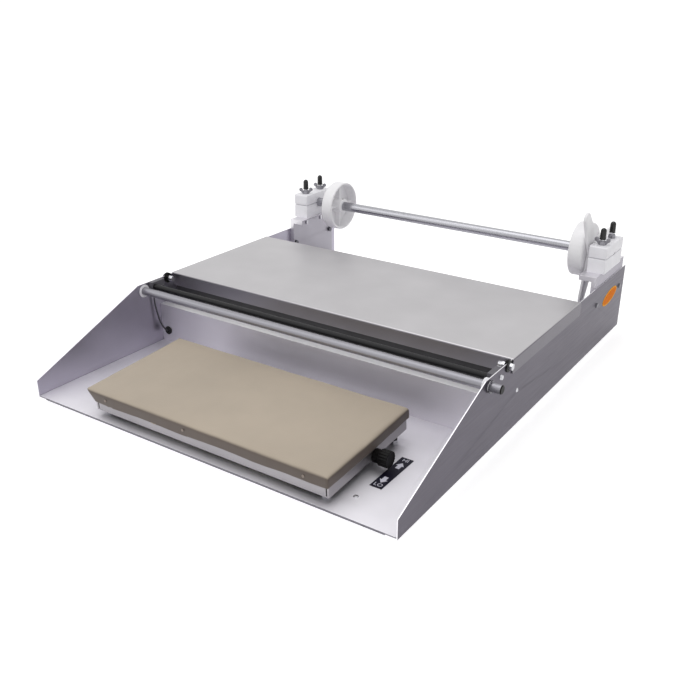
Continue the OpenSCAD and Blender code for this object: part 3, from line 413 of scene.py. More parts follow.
@dataclass(frozen=True)
class GroundSteel(Finish):
    """Stainless sheet ground along one direction: fine streaks and a soft, stretched gloss.

    Args:
        tint: Colour of the sheet.
        grain: Direction of the grinding marks.
        roughness: Mean roughness.
        swing: How far the roughness goes to either side of its mean.
        streak: Share by which the streaks change the colour.
        grain_mm: Spacing of the marks, drawn several times coarser than the real 0.1 mm.
        mark_length: How many times longer than their spacing the marks are.
        patch_mm: Size of the broad patches.
        cloud: Share by which the patches change the colour.
        bump: Strength of the bump of the marks.
        depth_mm: Depth of the marks.
        turned: Directions whose faces get a tint of their own, each with that tint, as painted light and
            shade by how a face is turned.
    """

    tint: str = "#b9b8ba"
    grain: Axis = Axis.X
    roughness: float = 0.36
    swing: float = 0.06
    streak: float = 0.05
    grain_mm: float = 0.7
    mark_length: float = 90.0
    patch_mm: float = 71.4
    cloud: float = 0.04
    bump: float = 0.03
    depth_mm: float = 0.02
    turned: tuple[tuple[Axis, str], ...] = ()

    def build(self) -> bpy.types.Material:
        """Makes the ground sheet material."""
        made, tree, shader = self.start()
        place = add_node(tree, "TexCoord")
        across = 1 / (self.grain_mm * MM)
        stretch = [across, across, across]
        stretch[self.grain.value] = across / self.mark_length
        drawn = add_node(tree, "Mapping", Vector=place.outputs["Object"], Scale=stretch)
        marks = add_node(tree, "TexNoise", Vector=drawn, Scale=1.0, Detail=3.0)
        patches = add_node(tree, "TexNoise", Vector=place.outputs["Object"],
                           Scale=1 / (self.patch_mm * MM), Detail=2.0)
        streaks = add_node(tree, "MapRange", Value=marks, **NOISE_MIDDLE,
                           To_Min=1 - self.streak, To_Max=1 + self.streak)
        clouds = add_node(tree, "MapRange", Value=patches, **NOISE_MIDDLE,
                          To_Min=1 - self.cloud, To_Max=1 + self.cloud)
        shade = add_node(tree, "Math", TIMES, __0=streaks, __1=clouds)
        gloss = add_node(tree, "MapRange", Value=marks, **NOISE_MIDDLE,
                         To_Min=self.roughness - self.swing, To_Max=self.roughness + self.swing)
        tone = self.tone(tree, place.outputs["Normal"])
        colour = add_node(tree, "VectorMath", SCALE, __0=tone, Scale=shade)
        bump = add_node(tree, "Bump", Strength=self.bump, Distance=self.depth_mm * MM, Height=marks)
        feed(tree, shader, Base_Color=colour, Metallic=1.0, Roughness=gloss, Normal=bump)
        return made

    def tone(self, tree: bpy.types.NodeTree, normal: bpy.types.NodeSocket) -> object:
        """Returns the sheet's colour, or a socket where painted light and shade change it by how a face
        is turned.
        """
        shown = hex_colour(self.tint)
        if not self.turned:
            return shown[:3]
        parts = add_node(tree, "SeparateXYZ", __0=normal)
        for axis, tint in self.turned:
            lean = add_node(tree, "Math", {"operation": "ABSOLUTE"}, __0=parts.outputs[axis.value])
            share = add_node(tree, "MapRange", Value=lean, From_Min=0.5, From_Max=0.85)
            mixed = add_node(tree, "Mix", COLOURS, __0=share, __6=shown, __7=hex_colour(tint))
            shown = mixed.outputs[2]
        return shown


@dataclass(frozen=True)
class PolishedSteel(Finish):
    """Ground and polished bar, or bright plating: sharp reflections with faint turning lines.

    Args:
        tint: Colour of the metal.
        roughness: Mean roughness.
        swing: How far the roughness goes below and above its mean.
        line_mm: Spacing of the turning lines along X.
        line_length: Length of a line across X, in millimetres.
        line: Share by which the lines change the colour.
    """

    tint: str = "#c8c8cb"
    roughness: float = 0.16
    swing: tuple[float, float] = (-0.04, 0.06)
    line_mm: float = 0.9
    line_length: float = 33.3
    line: float = 0.05

    def build(self) -> bpy.types.Material:
        """Makes the polished metal material."""
        made, tree, shader = self.start()
        place = add_node(tree, "TexCoord")
        along = 1 / (self.line_length * MM)
        drawn = add_node(tree, "Mapping", Vector=place.outputs["Object"],
                         Scale=(1 / (self.line_mm * MM), along, along))
        lines = add_node(tree, "TexNoise", Vector=drawn, Scale=1.0, Detail=2.0)
        shade = add_node(tree, "MapRange", Value=lines, **NOISE_MIDDLE,
                         To_Min=1 - self.line, To_Max=1 + self.line)
        sharpest, dullest = (self.roughness + step for step in self.swing)
        gloss = add_node(tree, "MapRange", Value=lines, **NOISE_MIDDLE,
                         To_Min=sharpest, To_Max=dullest)
        colour = add_node(tree, "VectorMath", SCALE, __0=hex_colour(self.tint)[:3], Scale=shade)
        feed(tree, shader, Base_Color=colour, Metallic=1.0, Roughness=gloss)
        return made


@dataclass(frozen=True)
class MouldedPlastic(Finish):
    """Moulded or machined plastic: a fine skin texture that breaks the highlight a little.

    Args:
        tint: Colour of the plastic.
        roughness: Mean roughness.
        swing: How far the roughness goes to either side of its mean.
        ior: Index of refraction.
        skin_mm: Grain size of the skin, drawn coarser than the real 0.1 mm.
        skin: Strength of the skin's bump.
        depth_mm: Depth of the skin.
        patch_mm: Size of the broad patches.
        mottle: Share by which the patches change the colour.
        gloss: Strength of the surface's sheen.
    """

    tint: str = "#e2e1de"
    roughness: float = 0.42
    swing: float = 0.05
    ior: float = 1.48
    skin_mm: float = 0.5
    skin: float = 0.15
    depth_mm: float = 0.04
    patch_mm: float = 16.7
    mottle: float = 0.03
    gloss: float = 0.5

    def build(self) -> bpy.types.Material:
        """Makes the plastic material."""
        made, tree, shader = self.start()
        place = add_node(tree, "TexCoord").outputs["Object"]
        grain = add_node(tree, "TexNoise", Vector=place, Scale=1 / (self.skin_mm * MM), Detail=2.0)
        patches = add_node(tree, "TexNoise", Vector=place, Scale=1 / (self.patch_mm * MM), Detail=2.0)
        shade = add_node(tree, "MapRange", Value=patches, **NOISE_MIDDLE,
                         To_Min=1 - self.mottle, To_Max=1 + self.mottle)
        colour = add_node(tree, "VectorMath", SCALE, __0=hex_colour(self.tint)[:3], Scale=shade)
        gloss = add_node(tree, "MapRange", Value=grain, **NOISE_MIDDLE,
                         To_Min=self.roughness - self.swing, To_Max=self.roughness + self.swing)
        bump = add_node(tree, "Bump", Strength=self.skin, Distance=self.depth_mm * MM, Height=grain)
        feed(tree, shader, Base_Color=colour, Roughness=gloss, IOR=self.ior,
             Specular_IOR_Level=self.gloss, Normal=bump)
        return made


@dataclass(frozen=True)
class CoatedGlassCloth(Finish):
    """Glass cloth coated with PTFE: a fine plain weave under a waxy film, darker down the sides, mostly
    as painted shade and in part the band's own deeper tone.

    Args:
        top: Colour of the upper face.
        side: Colour of the band round the sides, darker mostly as painted shade.
        slopes: Upward share of a face's normal at which it is all side, and all top.
        thread_mm: Thread spacing, drawn three times coarser than the real 0.4 mm.
        thread: Share by which the threads change the colour.
        bump: Strength of the bump of the threads.
        depth_mm: Depth of the weave.
        patch_mm: Size of the patches of a used cloth.
        patches: Darkest and palest patch, as shares of the colour.
        roughness: Roughness.
        sheen: Weight of the sheen of the loose fibres.
    """

    top: str = "#ada08f"
    side: str = "#5a4e46"
    slopes: tuple[float, float] = (0.25, 0.9)
    thread_mm: float = 1.2
    thread: float = 0.015
    bump: float = 0.12
    depth_mm: float = 0.06
    patch_mm: float = 111.1
    patches: tuple[float, float] = (0.92, 1.05)
    roughness: float = 0.5
    sheen: float = 0.15

    def build(self) -> bpy.types.Material:
        """Makes the coated cloth material."""
        made, tree, shader = self.start()
        place = add_node(tree, "TexCoord")
        normal = add_node(tree, "SeparateXYZ", __0=place.outputs["Normal"])
        # painted shade: the colour turns to that of the sides as a face leans away from up
        facing = add_node(tree, "MapRange", {"interpolation_type": "SMOOTHSTEP"},
                          Value=normal.outputs["Z"], From_Min=self.slopes[0], From_Max=self.slopes[1])
        base = add_node(tree, "Mix", COLOURS, __0=facing, __6=hex_colour(self.side),
                        __7=hex_colour(self.top))
        # a wave texture has about ten bands to the unit
        threads = 1 / (self.thread_mm * MM) / 10
        weft, warp = (
            add_node(tree, "TexWave", {"bands_direction": way}, Vector=place.outputs["Object"],
                     Scale=threads, Distortion=0.6, Detail=1.0)
            for way in ("X", "Y")
        )
        weave = add_node(tree, "Math", TIMES, __0=weft.outputs["Fac"], __1=warp.outputs["Fac"])
        patches = add_node(tree, "TexNoise", Vector=place.outputs["Object"],
                           Scale=1 / (self.patch_mm * MM), Detail=3.0)
        worn = add_node(tree, "MapRange", Value=patches, **NOISE_MIDDLE,
                        To_Min=self.patches[0], To_Max=self.patches[1])
        woven = add_node(tree, "MapRange", Value=weave, To_Min=1 - self.thread, To_Max=1 + self.thread)
        shade = add_node(tree, "Math", TIMES, __0=worn, __1=woven)
        colour = add_node(tree, "VectorMath", SCALE, __0=base.outputs[2], Scale=shade)
        bump = add_node(tree, "Bump", Strength=self.bump, Distance=self.depth_mm * MM, Height=weave)
        feed(tree, shader, Base_Color=colour, Roughness=self.roughness, Sheen_Weight=self.sheen,
             Normal=bump)
        return made


@dataclass(frozen=True)
class PlainTone(Finish):
    """A painted, printed or cast surface with a slight change of tone.

    Args:
        tint: Its colour.
        roughness: Roughness.
        metallic: 1 for bare metal, 0 for anything else.
        speck_mm: Size of the specks in the tone.
        speck: Share by which the specks change the colour.
        gloss: Strength of the surface's sheen.
    """

    tint: str = "#808080"
    roughness: float = 0.5
    metallic: float = 0.0
    speck_mm: float = 2.0
    speck: float = 0.07
    gloss: float = 0.5

    def build(self) -> bpy.types.Material:
        """Makes the plain material."""
        made, tree, shader = self.start()
        place = add_node(tree, "TexCoord").outputs["Object"]
        specks = add_node(tree, "TexNoise", Vector=place, Scale=1 / (self.speck_mm * MM), Detail=3.0)
        shade = add_node(tree, "MapRange", Value=specks, **NOISE_MIDDLE,
                         To_Min=1 - self.speck, To_Max=1 + self.speck)
        colour = add_node(tree, "VectorMath", SCALE, __0=hex_colour(self.tint)[:3], Scale=shade)
        feed(tree, shader, Base_Color=colour, Metallic=self.metallic, Roughness=self.roughness,
             Specular_IOR_Level=self.gloss)
        return made


# stainless side panels: ground along their length, their broad faces tinted dark as painted shade and
# their cut edges bright as painted highlight
PANEL_STEEL = GroundSteel(
    "satin_stainless_panel", tint="#f2f0f4", grain=Axis.Y, roughness=0.42, streak=0.02,
    turned=((Axis.X, "#605c66"),))
# the left panel: the same steel with its broad faces tinted lighter, painted light
LEFT_PANEL_STEEL = GroundSteel(
    "satin_stainless_left_panel", tint="#e8e6ea", grain=Axis.Y, roughness=0.36, streak=0.02,
    turned=((Axis.X, "#aeaab7"),))
# bright annealed sheet: mirrors the riser and the pad in a soft, broken way; its faces turned to the
# front and rear are tinted darker as painted shade
FLOOR_STEEL = GroundSteel(
    "bright_stainless_floor", tint="#ebe9ee", grain=Axis.X, roughness=0.58, streak=0.008,
    turned=((Axis.Y, "#77757c"),))
# riser and rear wall: their level faces, the ledge among them, tinted brighter as painted light
RISER_STEEL = GroundSteel(
    "satin_stainless_riser", tint="#dfdce3", grain=Axis.X, roughness=0.52, streak=0.02,
    turned=((Axis.Z, "#fbfafc"),))
# table sheet: brushed across the machine, its end flanges and its front and rear faces tinted darker than
# the top as painted shade
TABLE_STEEL = GroundSteel(
    "brushed_stainless_table", tint="#bfbdbf", grain=Axis.X, roughness=0.40, streak=0.02,
    turned=((Axis.X, "#716e75"), (Axis.Y, "#8f8d93")))
# bent brackets: the upright webs tinted darker than the flanges as painted shade
BRACKET_STEEL = GroundSteel(
    "bent_stainless_bracket", tint="#e6e4e8", grain=Axis.Z, roughness=0.48, streak=0.02,
    turned=((Axis.X, "#a5a2aa"),))
# zinc coated pan: duller than stainless, with soft cloudy patches; its front faces are tinted darker and
# its level faces near black, painted shade that darkens the space under the pan
PAN_SHEET = GroundSteel(
    "zinc_coated_pan_sheet", tint="#b2afb1", grain=Axis.X, roughness=0.42, cloud=0.05,
    turned=((Axis.Y, "#a29fa2"), (Axis.Z, "#2b292b")))
# turned and plated metal: sharp reflections on the shaft, a dull sheen on castings
ROLLER_TUBE = PolishedSteel("satin_drawn_tube", tint="#96959b", roughness=0.42)
SHAFT_STEEL = PolishedSteel("polished_round_bar", tint="#acacb1", roughness=0.20)
BRIGHT_SCREW = PolishedSteel("bright_zinc_plate", tint="#c6c6ca", roughness=0.20)
DARK_SCREW = PolishedSteel("oiled_steel_nut", tint="#5c5b61", roughness=0.24)
CAST_NUT = PolishedSteel("cast_zinc_wing_nut", tint="#8f8e94", roughness=0.32)
CAST_ALLOY = PolishedSteel("cast_heater_plate", tint="#b3b4b8", roughness=0.45)
RIVET_BRONZE = PolishedSteel("dull_eyelet", tint="#8a7f78", roughness=0.45)
# a dark dull strip, painted shade behind the rod, and dull foam: the sponge with open cells
SHADE_STRIP = MouldedPlastic("painted_shade_black_strip", tint="#29282c", roughness=0.5, mottle=0.12)
FOAM = MouldedPlastic("black_silicone_sponge", tint="#1d1d1f", roughness=0.9, skin_mm=1.5, skin=0.5)
# machined white acetal: waxy, nearly white, with a broad soft highlight
WHITE_PLASTIC = MouldedPlastic("white_acetal", tint="#edecf0", roughness=0.45)
NYLON = MouldedPlastic("white_moulded_nylon", tint="#efeef0", roughness=0.36)
# black mouldings: a wet shine on the dipped caps, a flat grey sheen on phenolic and rubber
BLACK_CAP = MouldedPlastic("black_vinyl_cap", tint="#080808", roughness=0.2)
BLACK_PHENOLIC = MouldedPlastic("black_phenolic", tint="#090808", roughness=0.42, gloss=0.16)
GREY_PHENOLIC = MouldedPlastic("grey_filled_phenolic", tint="#57555b", roughness=0.5)
RUBBER = MouldedPlastic("black_moulded_rubber", tint="#1c1c1d", roughness=0.75)
# shrunk sleeve: waxy, with slight wrinkles that break its highlight
BLACK_SLEEVE = MouldedPlastic(
    "black_ptfe_sleeve", tint="#0d0c0f", roughness=0.5, skin_mm=2.5, skin=0.3, gloss=0.35)
# woven glass: waxy and fine on the coated cloth, dull and dark on the braided lead
PAD_CLOTH = CoatedGlassCloth("coated_glass_cloth")
LEAD_BRAID = MouldedPlastic("glass_braid_lead", tint="#3b3a40", roughness=0.7)
# printed films and plates: flat colour with hardly any sheen
STICKER_ORANGE = PlainTone("orange_printed_film", tint="#e67b0c", roughness=0.6, speck_mm=5.0, gloss=0.06)
STICKER_RIM = PlainTone("yellow_printed_rim", tint="#f2aa3a", roughness=0.6, speck_mm=9.0, gloss=0.06)
DARK_PRINT = PlainTone("dark_printed_plate", tint="#120f22", roughness=0.4, gloss=0.3)
WHITE_PRINT = PlainTone("white_print", tint="#d6d4e0", roughness=0.5)


# ------------------------------------------------------------------ studio


@dataclass
class Studio:
    """Floor, lamps, world and camera.

    Args:
        image_px: Width of the picture in pixels.
        focal_px: Focal length in pixels of that picture.
        azimuth: Turn of the view about the vertical, in degrees.
        elevation: Downward slope of the view, in degrees.
        roll: Turn of the picture about the view, in degrees.
        camera_place: Place of the camera in the sheet metal drawing, in millimetres.
        sensor_mm: Width of the camera's sensor in millimetres.
        sky: Strength of the even light from all round.
        lamp_aim: Point that the lamps face, in metres in the row frame, as all of a lamp is.
        lamps: Name, place, size and power in watts of each lamp.
        floor_m: Size of the floor in metres.
        floor_tint: Colour of the floor.
        floor_lift: Glow that the floor adds where it is seen, so that it reads as white paper.
    """

    image_px: float = 700.0
    focal_px: float = 858.16
    azimuth: float = 33.73
    elevation: float = 24.19
    roll: float = 0.25
    camera_place: Point = (669.3, -653.1, 559.7)
    sensor_mm: float = 36.0
    sky: float = 0.74
    lamp_aim: Point = (0.0, 0.0, 0.05)
    lamps: tuple[tuple[str, Point, float, float], ...] = (
        ("soft_box_top", (-0.1, -0.2, 1.9), 1.6, 9.5),
        ("soft_box_left", (-1.1, -0.9, 1.2), 1.0, 2.2),
    )
    floor_m: float = 40.0
    floor_tint: str = "#e9e9e9"
    floor_lift: float = 0.5

    def build(self) -> None:
        """Sets the camera, the lamps, the world and the floor."""
        self.set_camera()
        self.set_world()
        self.set_lamps()
        self.set_floor()
        bpy.context.scene.view_settings.view_transform = "Standard"
        LOG.info("studio is set")

    def set_camera(self) -> None:
        """Places the camera at the viewing angle."""
        data = bpy.data.cameras.new("studio_camera")
        data.sensor_width = self.sensor_mm
        data.lens = self.focal_px / self.image_px * self.sensor_mm
        camera = bpy.data.objects.new("studio_camera", data)
        bpy.context.scene.collection.objects.link(camera)
        turn = Matrix.Rotation(math.radians(self.azimuth), 4, "Z")
        tip = Matrix.Rotation(math.radians(90 - self.elevation), 4, "X")
        roll = Matrix.Rotation(math.radians(self.roll), 4, "Z")
        camera.matrix_world = Matrix.Translation(machine_point(*self.camera_place)) @ turn @ tip @ roll
        bpy.context.scene.camera = camera

    def set_world(self) -> None:
        """Lights the machine evenly and shows white behind it and in its metal."""
        world = bpy.data.worlds.new("studio_world")
        bpy.context.scene.world = world
        world.use_nodes = True
        tree = world.node_tree
        tree.nodes.clear()
        lit = add_node(tree, "Background", Color=WHITE, Strength=self.sky)
        shown = add_node(tree, "Background", Color=WHITE, Strength=1.0)
        mixed = add_node(tree, "MixShader", __0=self.seen_rays(tree), __1=lit, __2=shown)
        add_node(tree, "OutputWorld", Surface=mixed)

    @staticmethod
    def seen_rays(tree: bpy.types.NodeTree) -> bpy.types.Node:
        """Returns a node that gives 1 for camera, glossy and transmission rays."""
        path = add_node(tree, "LightPath").outputs
        largest = {"operation": "MAXIMUM"}
        first = add_node(tree, "Math", largest, __0=path["Is Camera Ray"], __1=path["Is Glossy Ray"])
        return add_node(tree, "Math", largest, __0=first, __1=path["Is Transmission Ray"])

    def set_lamps(self) -> None:
        """Hangs a large soft lamp overhead and a smaller one at the front left."""
        for name, place, size, power in self.lamps:
            data = bpy.data.lights.new(name, "AREA")
            data.size = size
            data.energy = power
            lamp = bpy.data.objects.new(name, data)
            bpy.context.scene.collection.objects.link(lamp)
            lamp.location = place
            facing = Vector(self.lamp_aim) - Vector(place)
            lamp.rotation_euler = facing.to_track_quat("-Z", "Y").to_euler()

    def set_floor(self) -> None:
        """Lays a plain white floor that keeps the machine's shadow."""
        deselect_all()
        bpy.ops.mesh.primitive_plane_add(size=self.floor_m, location=(0.0, 0.0, 0.0))
        floor = bpy.context.object
        floor.name = "studio_floor"
        made = bpy.data.materials.new("white_paper_floor")
        made.use_nodes = True
        tree = made.node_tree
        glow = add_node(tree, "Math", TIMES, __0=self.seen_rays(tree), __1=self.floor_lift)
        feed(tree, tree.nodes["Principled BSDF"], Base_Color=hex_colour(self.floor_tint), Roughness=0.9,
             Specular_IOR_Level=0.0, Emission_Color=WHITE, Emission_Strength=glow)
        floor.data.materials.append(made)


# ------------------------------------------------------------------ cutter lead


@dataclass
class CutterLead:
    """The thin lead from the left rod holder to the hole in the riser.

    Args:
        route: Points that it follows, in millimetres, with X from the inner face of the left panel.
        panel_x: Place of that face in the sheet metal drawing.
        diameter: Its diameter in millimetres.
    """

    route: Sequence[Point] = (
        (4, 227, 92), (4, 227, 86), (4, 227, 80), (4, 227.5, 74), (4, 228, 68),
        (4.5, 229, 62), (5, 230, 56), (5.5, 231, 50), (6, 232, 44), (7, 233, 38.5),
        (8.5, 234.5, 33), (10.5, 236, 28.5), (12.5, 237.8, 25), (13.7, 239.8, 22.8), (14, 242.5, 22),
        (14, 247, 21.7), (14, 252, 20.5), (14, 258, 19),
    )
    panel_x: float = -293.5
    diameter: float = 2.5

    def length(self) -> float:
        """Returns the length along the route in millimetres."""
        return sum(math.dist(a, b) for a, b in zip(self.route, self.route[1:]))

    def places(self) -> list[Vector]:
        """Returns the route's points in the row frame."""
        return [machine_point(self.panel_x + x, y, z) for x, y, z in self.route]

    def build(self) -> None:
        data = bpy.data.curves.new("cutter_lead_curve", "CURVE")
        data.dimensions = "3D"
        data.bevel_depth = self.diameter / 2 * MM
        data.bevel_resolution = 4
        data.use_fill_caps = True
        spline = data.splines.new("POLY")
        spline.points.add(len(self.route) - 1)
        for point, place in zip(spline.points, self.places()):
            point.co = (*place, 1.0)
        piece = bpy.data.objects.new("cutter_lead_braid", data)
        bpy.context.scene.collection.objects.link(piece)
        mount_piece(piece, "cutter_lead_braid", LEAD_BRAID, "frame", ["cutter_lead"])
        self.length() * MM


# ------------------------------------------------------------------ frame and table


@dataclass
class SheetFrame:
    """Folded stainless frame with its table cover, brackets and feet.

    Args:
        finishes: The finish of each sheet.
        edge: Width of the broken edges of the sheets, in millimetres.
    """

    finishes: dict[str, Finish] = field(default_factory=lambda: {
        "base_plate": FLOOR_STEEL, "left_side_panel": LEFT_PANEL_STEEL,
        "right_side_panel": PANEL_STEEL, "riser_panel": RISER_STEEL, "rear_wall": RISER_STEEL,
        "table_cover": TABLE_STEEL, "left_bracket": BRACKET_STEEL, "right_bracket": BRACKET_STEEL,
        "pad_pan": PAN_SHEET,
    })
    edge: float = 0.3

    def build(self) -> None:
        """Dresses the sheets and breaks their edges."""
        for node, finish in self.finishes.items():
            dress_node(node, finish)
            soften_node(node, self.edge)
        for node in ("rubber_feet", "lead_grommet"):
            dress_node(node, RUBBER)


@dataclass
class SideSticker:
    """Plain oval sticker with a paler rim on the right side panel, stuck on at a slight slope.

    Args:
        rim: Width of the rim in millimetres.
        rim_front: Height of the rim's face over the panel.
        field_back: Height over the panel at which the field starts.
        breadth: Breadth of the oval.
        tilt: Rise of the oval to the rear, in degrees.
        steps: Points round the oval.
    """

    rim: float = 2.6
    rim_front: float = 0.32
    field_back: float = 0.2
    breadth: float = 22.8
    tilt: float = 7.0
    steps: int = 72

    def build(self) -> None:
        """Makes the rim plate and the field on it."""
        low, high = (Vector(corner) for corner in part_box("side_sticker"))
        half = (high - low) / 2
        centre = (low + high) / 2
        breadth = self.breadth / 2 * MM
        rim = self.oval(centre, half.y, breadth, low.x, low.x + self.rim_front * MM)
        mount_piece(rim, "sticker_rim", STICKER_RIM, "frame", ["side_sticker"])
        inner = self.rim * MM
        back = low.x + self.field_back * MM
        face = self.oval(centre, half.y - inner, breadth - inner, back, high.x)
        mount_piece(face, "sticker_field", STICKER_ORANGE, "frame")

    def oval(
        self, centre: Vector, length: float, breadth: float, x0: float, x1: float
    ) -> bpy.types.Object:
        """Makes an oval plate that faces +X.

        Args:
            centre: Its middle, in metres.
            length: Half its length.
            breadth: Half its breadth.
            x0: Its back face.
            x1: Its front face.

        Returns:
            The plate, with its place in its mesh.
        """
        deselect_all()
        bpy.ops.mesh.primitive_circle_add(
            vertices=self.steps, radius=1.0, fill_type="NGON", location=(x0, centre.y, centre.z),
            rotation=(0.0, math.pi / 2, 0.0))
        piece = bpy.context.object
        piece.scale = (breadth, length, 1.0)
        bake_place(piece)
        turn = Matrix.Rotation(math.radians(self.tilt), 4, "X")
        bake_place(piece, Matrix.Translation(centre) @ turn @ Matrix.Translation(-centre))
        with edit_mesh(piece):
            extrude((x1 - x0, 0.0, 0.0))
        make_normals_outward(piece)
        shade_by_angle(piece)
        return piece


# ------------------------------------------------------------------ sealing pad


@dataclass
class PadCover:
    """Coated cloth drawn over the sponge and the heated plate, with a band round its sides.

    Its sizes are in millimetres in the frame of the tilted pan.

    Args:
        left: Left end of the cover.
        right: Right end.
        front: Front face.
        rear: Rear face.
        top: Upper face.
        band: Height of the band at the left end.
        right_band: Height of the band at the right end.
        draw_in: How far the lower edge is drawn in at the left end.
        foot: How far the form goes on below the lower edge, before it is cut off there.
        foot_draw_in: How far the form's foot is drawn in at the left end.
        slack: How much smaller the sewn form starts before it swells.
        swell: The most that a point of it moves as it swells.
        cloth: Thickness of the cloth.
        voxel: Size of the grid that the cloth is simulated on.
        edge_r: Radius of the upper edges before the cloth swells.
        sponge: Thickness of the sponge sheet.
        sponge_r: Radius of the sponge's upper edges.
        inset: How far the sponge lies inside the cover's sides.
        clearance: Space between the cloth and the sponge.
        rivet_xs: Places of the eyelets along the front.
        rivet_z: Height of the eyelets.
        rivet_sunk: How deep the eyelets sit in the band.
        rivet: Profile of an eyelet, outwards from the band.
        waves: Number to the metre and height of the broad and of the fine waves in the cloth.
        sink: How far the waves lie inwards on the whole.
        hem_wave: How far the lower edge of the band wanders up and down.
        hem_often: Number of its waves to the metre.
        hem_reach: How near the lower edge a point has to be to wander with it.
        pressure: Strength of the pressure that swells it.
        steps: Number of steps that the cloth is left to swell for.
    """

    left: float = -209.2
    right: float = 192.8
    front: float = -3.0
    rear: float = 180.0
    top: float = 29.8
    band: float = 18.2
    right_band: float = 16.4
    draw_in: float = 16.0
    foot: float = 3.0
    foot_draw_in: float = 19.2
    slack: float = 0.7
    swell: float = 2.2
    cloth: float = 1.2
    voxel: float = 3.5
    edge_r: float = 5.0
    sponge: float = 6.0
    sponge_r: float = 5.0
    inset: float = 3.0
    clearance: float = 1.0
    rivet_xs: tuple[float, ...] = (-169.0, -29.0, 158.0)
    rivet_z: float = 20.3
    rivet_sunk: float = 0.1
    rivet: tuple[tuple[float, float], ...] = (
        (0.0, 0.0), (0.0, 2.1), (-0.45, 1.8), (-0.8, 1.0), (-0.9, 0.0))
    waves: tuple[tuple[float, float], ...] = ((22.0, 0.45), (70.0, 0.3))
    sink: float = 0.3
    hem_wave: float = 1.8
    hem_often: float = 16.0
    hem_reach: float = 0.3
    pressure: float = 4.0
    steps: int = 20

    def build(self) -> None:
        """Makes the cover: a blocked form, swelled, rumpled and cut open below."""
        piece = self.blocked_form()
        self.swell_cloth(piece)
        self.rumple(piece)
        self.cut_open(piece)
        wall = piece.modifiers.new("cloth_thickness", "SOLIDIFY")
        wall.thickness = self.cloth * MM
        wall.offset = -1.0
        smooth = piece.modifiers.new("soften", "SUBSURF")
        smooth.levels = smooth.render_levels = 1
        apply_modifiers(piece)
        bake_place(piece, PAN_PLACE)
        shade_by_angle(piece, 60.0)
        mount_piece(piece, "pad_cover_cloth", PAD_CLOTH, "frame", ["pad_cover"])
        self.build_sponge()
        self.build_rivets()

    def build_sponge(self) -> None:
        """Makes the sponge sheet under the cloth, its upper edges rounded as the cloth presses them."""
        inset = self.inset
        top = self.top - self.cloth - self.clearance
        piece = cube_between(
            (self.left + self.draw_in, self.front + inset, top - self.sponge),
            (self.right - inset, self.rear - inset, top))
        with edit_mesh(piece):
            select_where(piece, lambda p: p.z > top * MM - NEAR, Element.EDGE)
            bpy.ops.mesh.bevel(offset=self.sponge_r * MM, segments=4)
        bake_place(piece, PAN_PLACE)
        shade_by_angle(piece)
        mount_piece(piece, "sponge_sheet", FOAM, "frame", ["pad_sponge"])

    def build_rivets(self) -> None:
        """Makes the eyelets that hold the front of the band, each a shallow dome."""
        for number, x in enumerate(self.rivet_xs, start=1):
            place = Vector((x, self.front + self.rivet_sunk, self.rivet_z)) * MM
            piece = turned_form(self.rivet, place, Axis.Y, steps=24)
            bake_place(piece, PAN_PLACE)
            shade_by_angle(piece)
            name = f"band_eyelet_{number}"
            mount_piece(piece, name, RIVET_BRONZE, "frame", ["band_rivets"])

    def blocked_form(self) -> bpy.types.Object:
        """Returns the closed form that the cover starts from, on an even grid."""
        bottom = self.top - self.band - self.foot
        low = (self.left + self.slack, self.front + self.slack, bottom)
        high = (self.right - self.slack, self.rear - self.slack, self.top - self.slack)
        piece = cube_between(low, high)
        with edit_mesh(piece):
            select_where(piece, lambda p: p.x < low[0] * MM + NEAR and p.z < bottom * MM + NEAR,
                         Element.VERTEX)
            bpy.ops.transform.translate(value=(self.foot_draw_in * MM, 0.0, 0.0))
            select_where(piece, lambda p: p.z > high[2] * MM - NEAR, Element.EDGE)
            bpy.ops.mesh.bevel(offset=self.edge_r * MM, segments=4)
        piece.data.remesh_voxel_size = self.voxel * MM
        pick(piece)
        bpy.ops.object.voxel_remesh()
        return piece

    def swell_cloth(self, piece: bpy.types.Object) -> None:
        """Swells the form with cloth pressure and keeps it inside the space of its solid."""
        low = Vector((self.left, self.front, 0.0)) * MM
        high = Vector((self.right, self.rear, self.top)) * MM
        middle = (low + high) / 2
        rest = [vertex.co.copy() for vertex in piece.data.vertices]
        cloth = piece.modifiers.new("swell", "CLOTH")
        cloth.settings.use_pressure = True
        cloth.settings.uniform_pressure_force = self.pressure
        cloth.settings.effector_weights.gravity = 0.0
        cloth.point_cache.frame_start = 1
        cloth.point_cache.frame_end = self.steps
        for step in range(1, self.steps + 1):
            bpy.context.scene.frame_set(step)
        swelled = piece.evaluated_get(bpy.context.evaluated_depsgraph_get())
        moved = [vertex.co.copy() for vertex in swelled.data.vertices]
        piece.modifiers.remove(cloth)
        bpy.context.scene.frame_set(1)
        for vertex, before, after in zip(piece.data.vertices, rest, moved):
            shift = after - before
            shift.length = min(shift.length, self.swell * MM)
            # the plate and the sponge below keep the cloth from being drawn in
            for k in range(3):
                if shift[k] * (before[k] - middle[k]) < 0:
                    shift[k] = 0.0
            vertex.co = [min(max(c, a), b) for c, a, b in zip(before + shift, low, high)]

    def rumple(self, piece: bpy.types.Object) -> None:
        """Gives the edges and faces the slight waves of hand-drawn cloth."""
        for vertex in piece.data.vertices:
            wave = sum(noise.noise(vertex.co * often) * height for often, height in self.waves)
            vertex.co = vertex.co + vertex.normal * (wave - self.sink) * MM

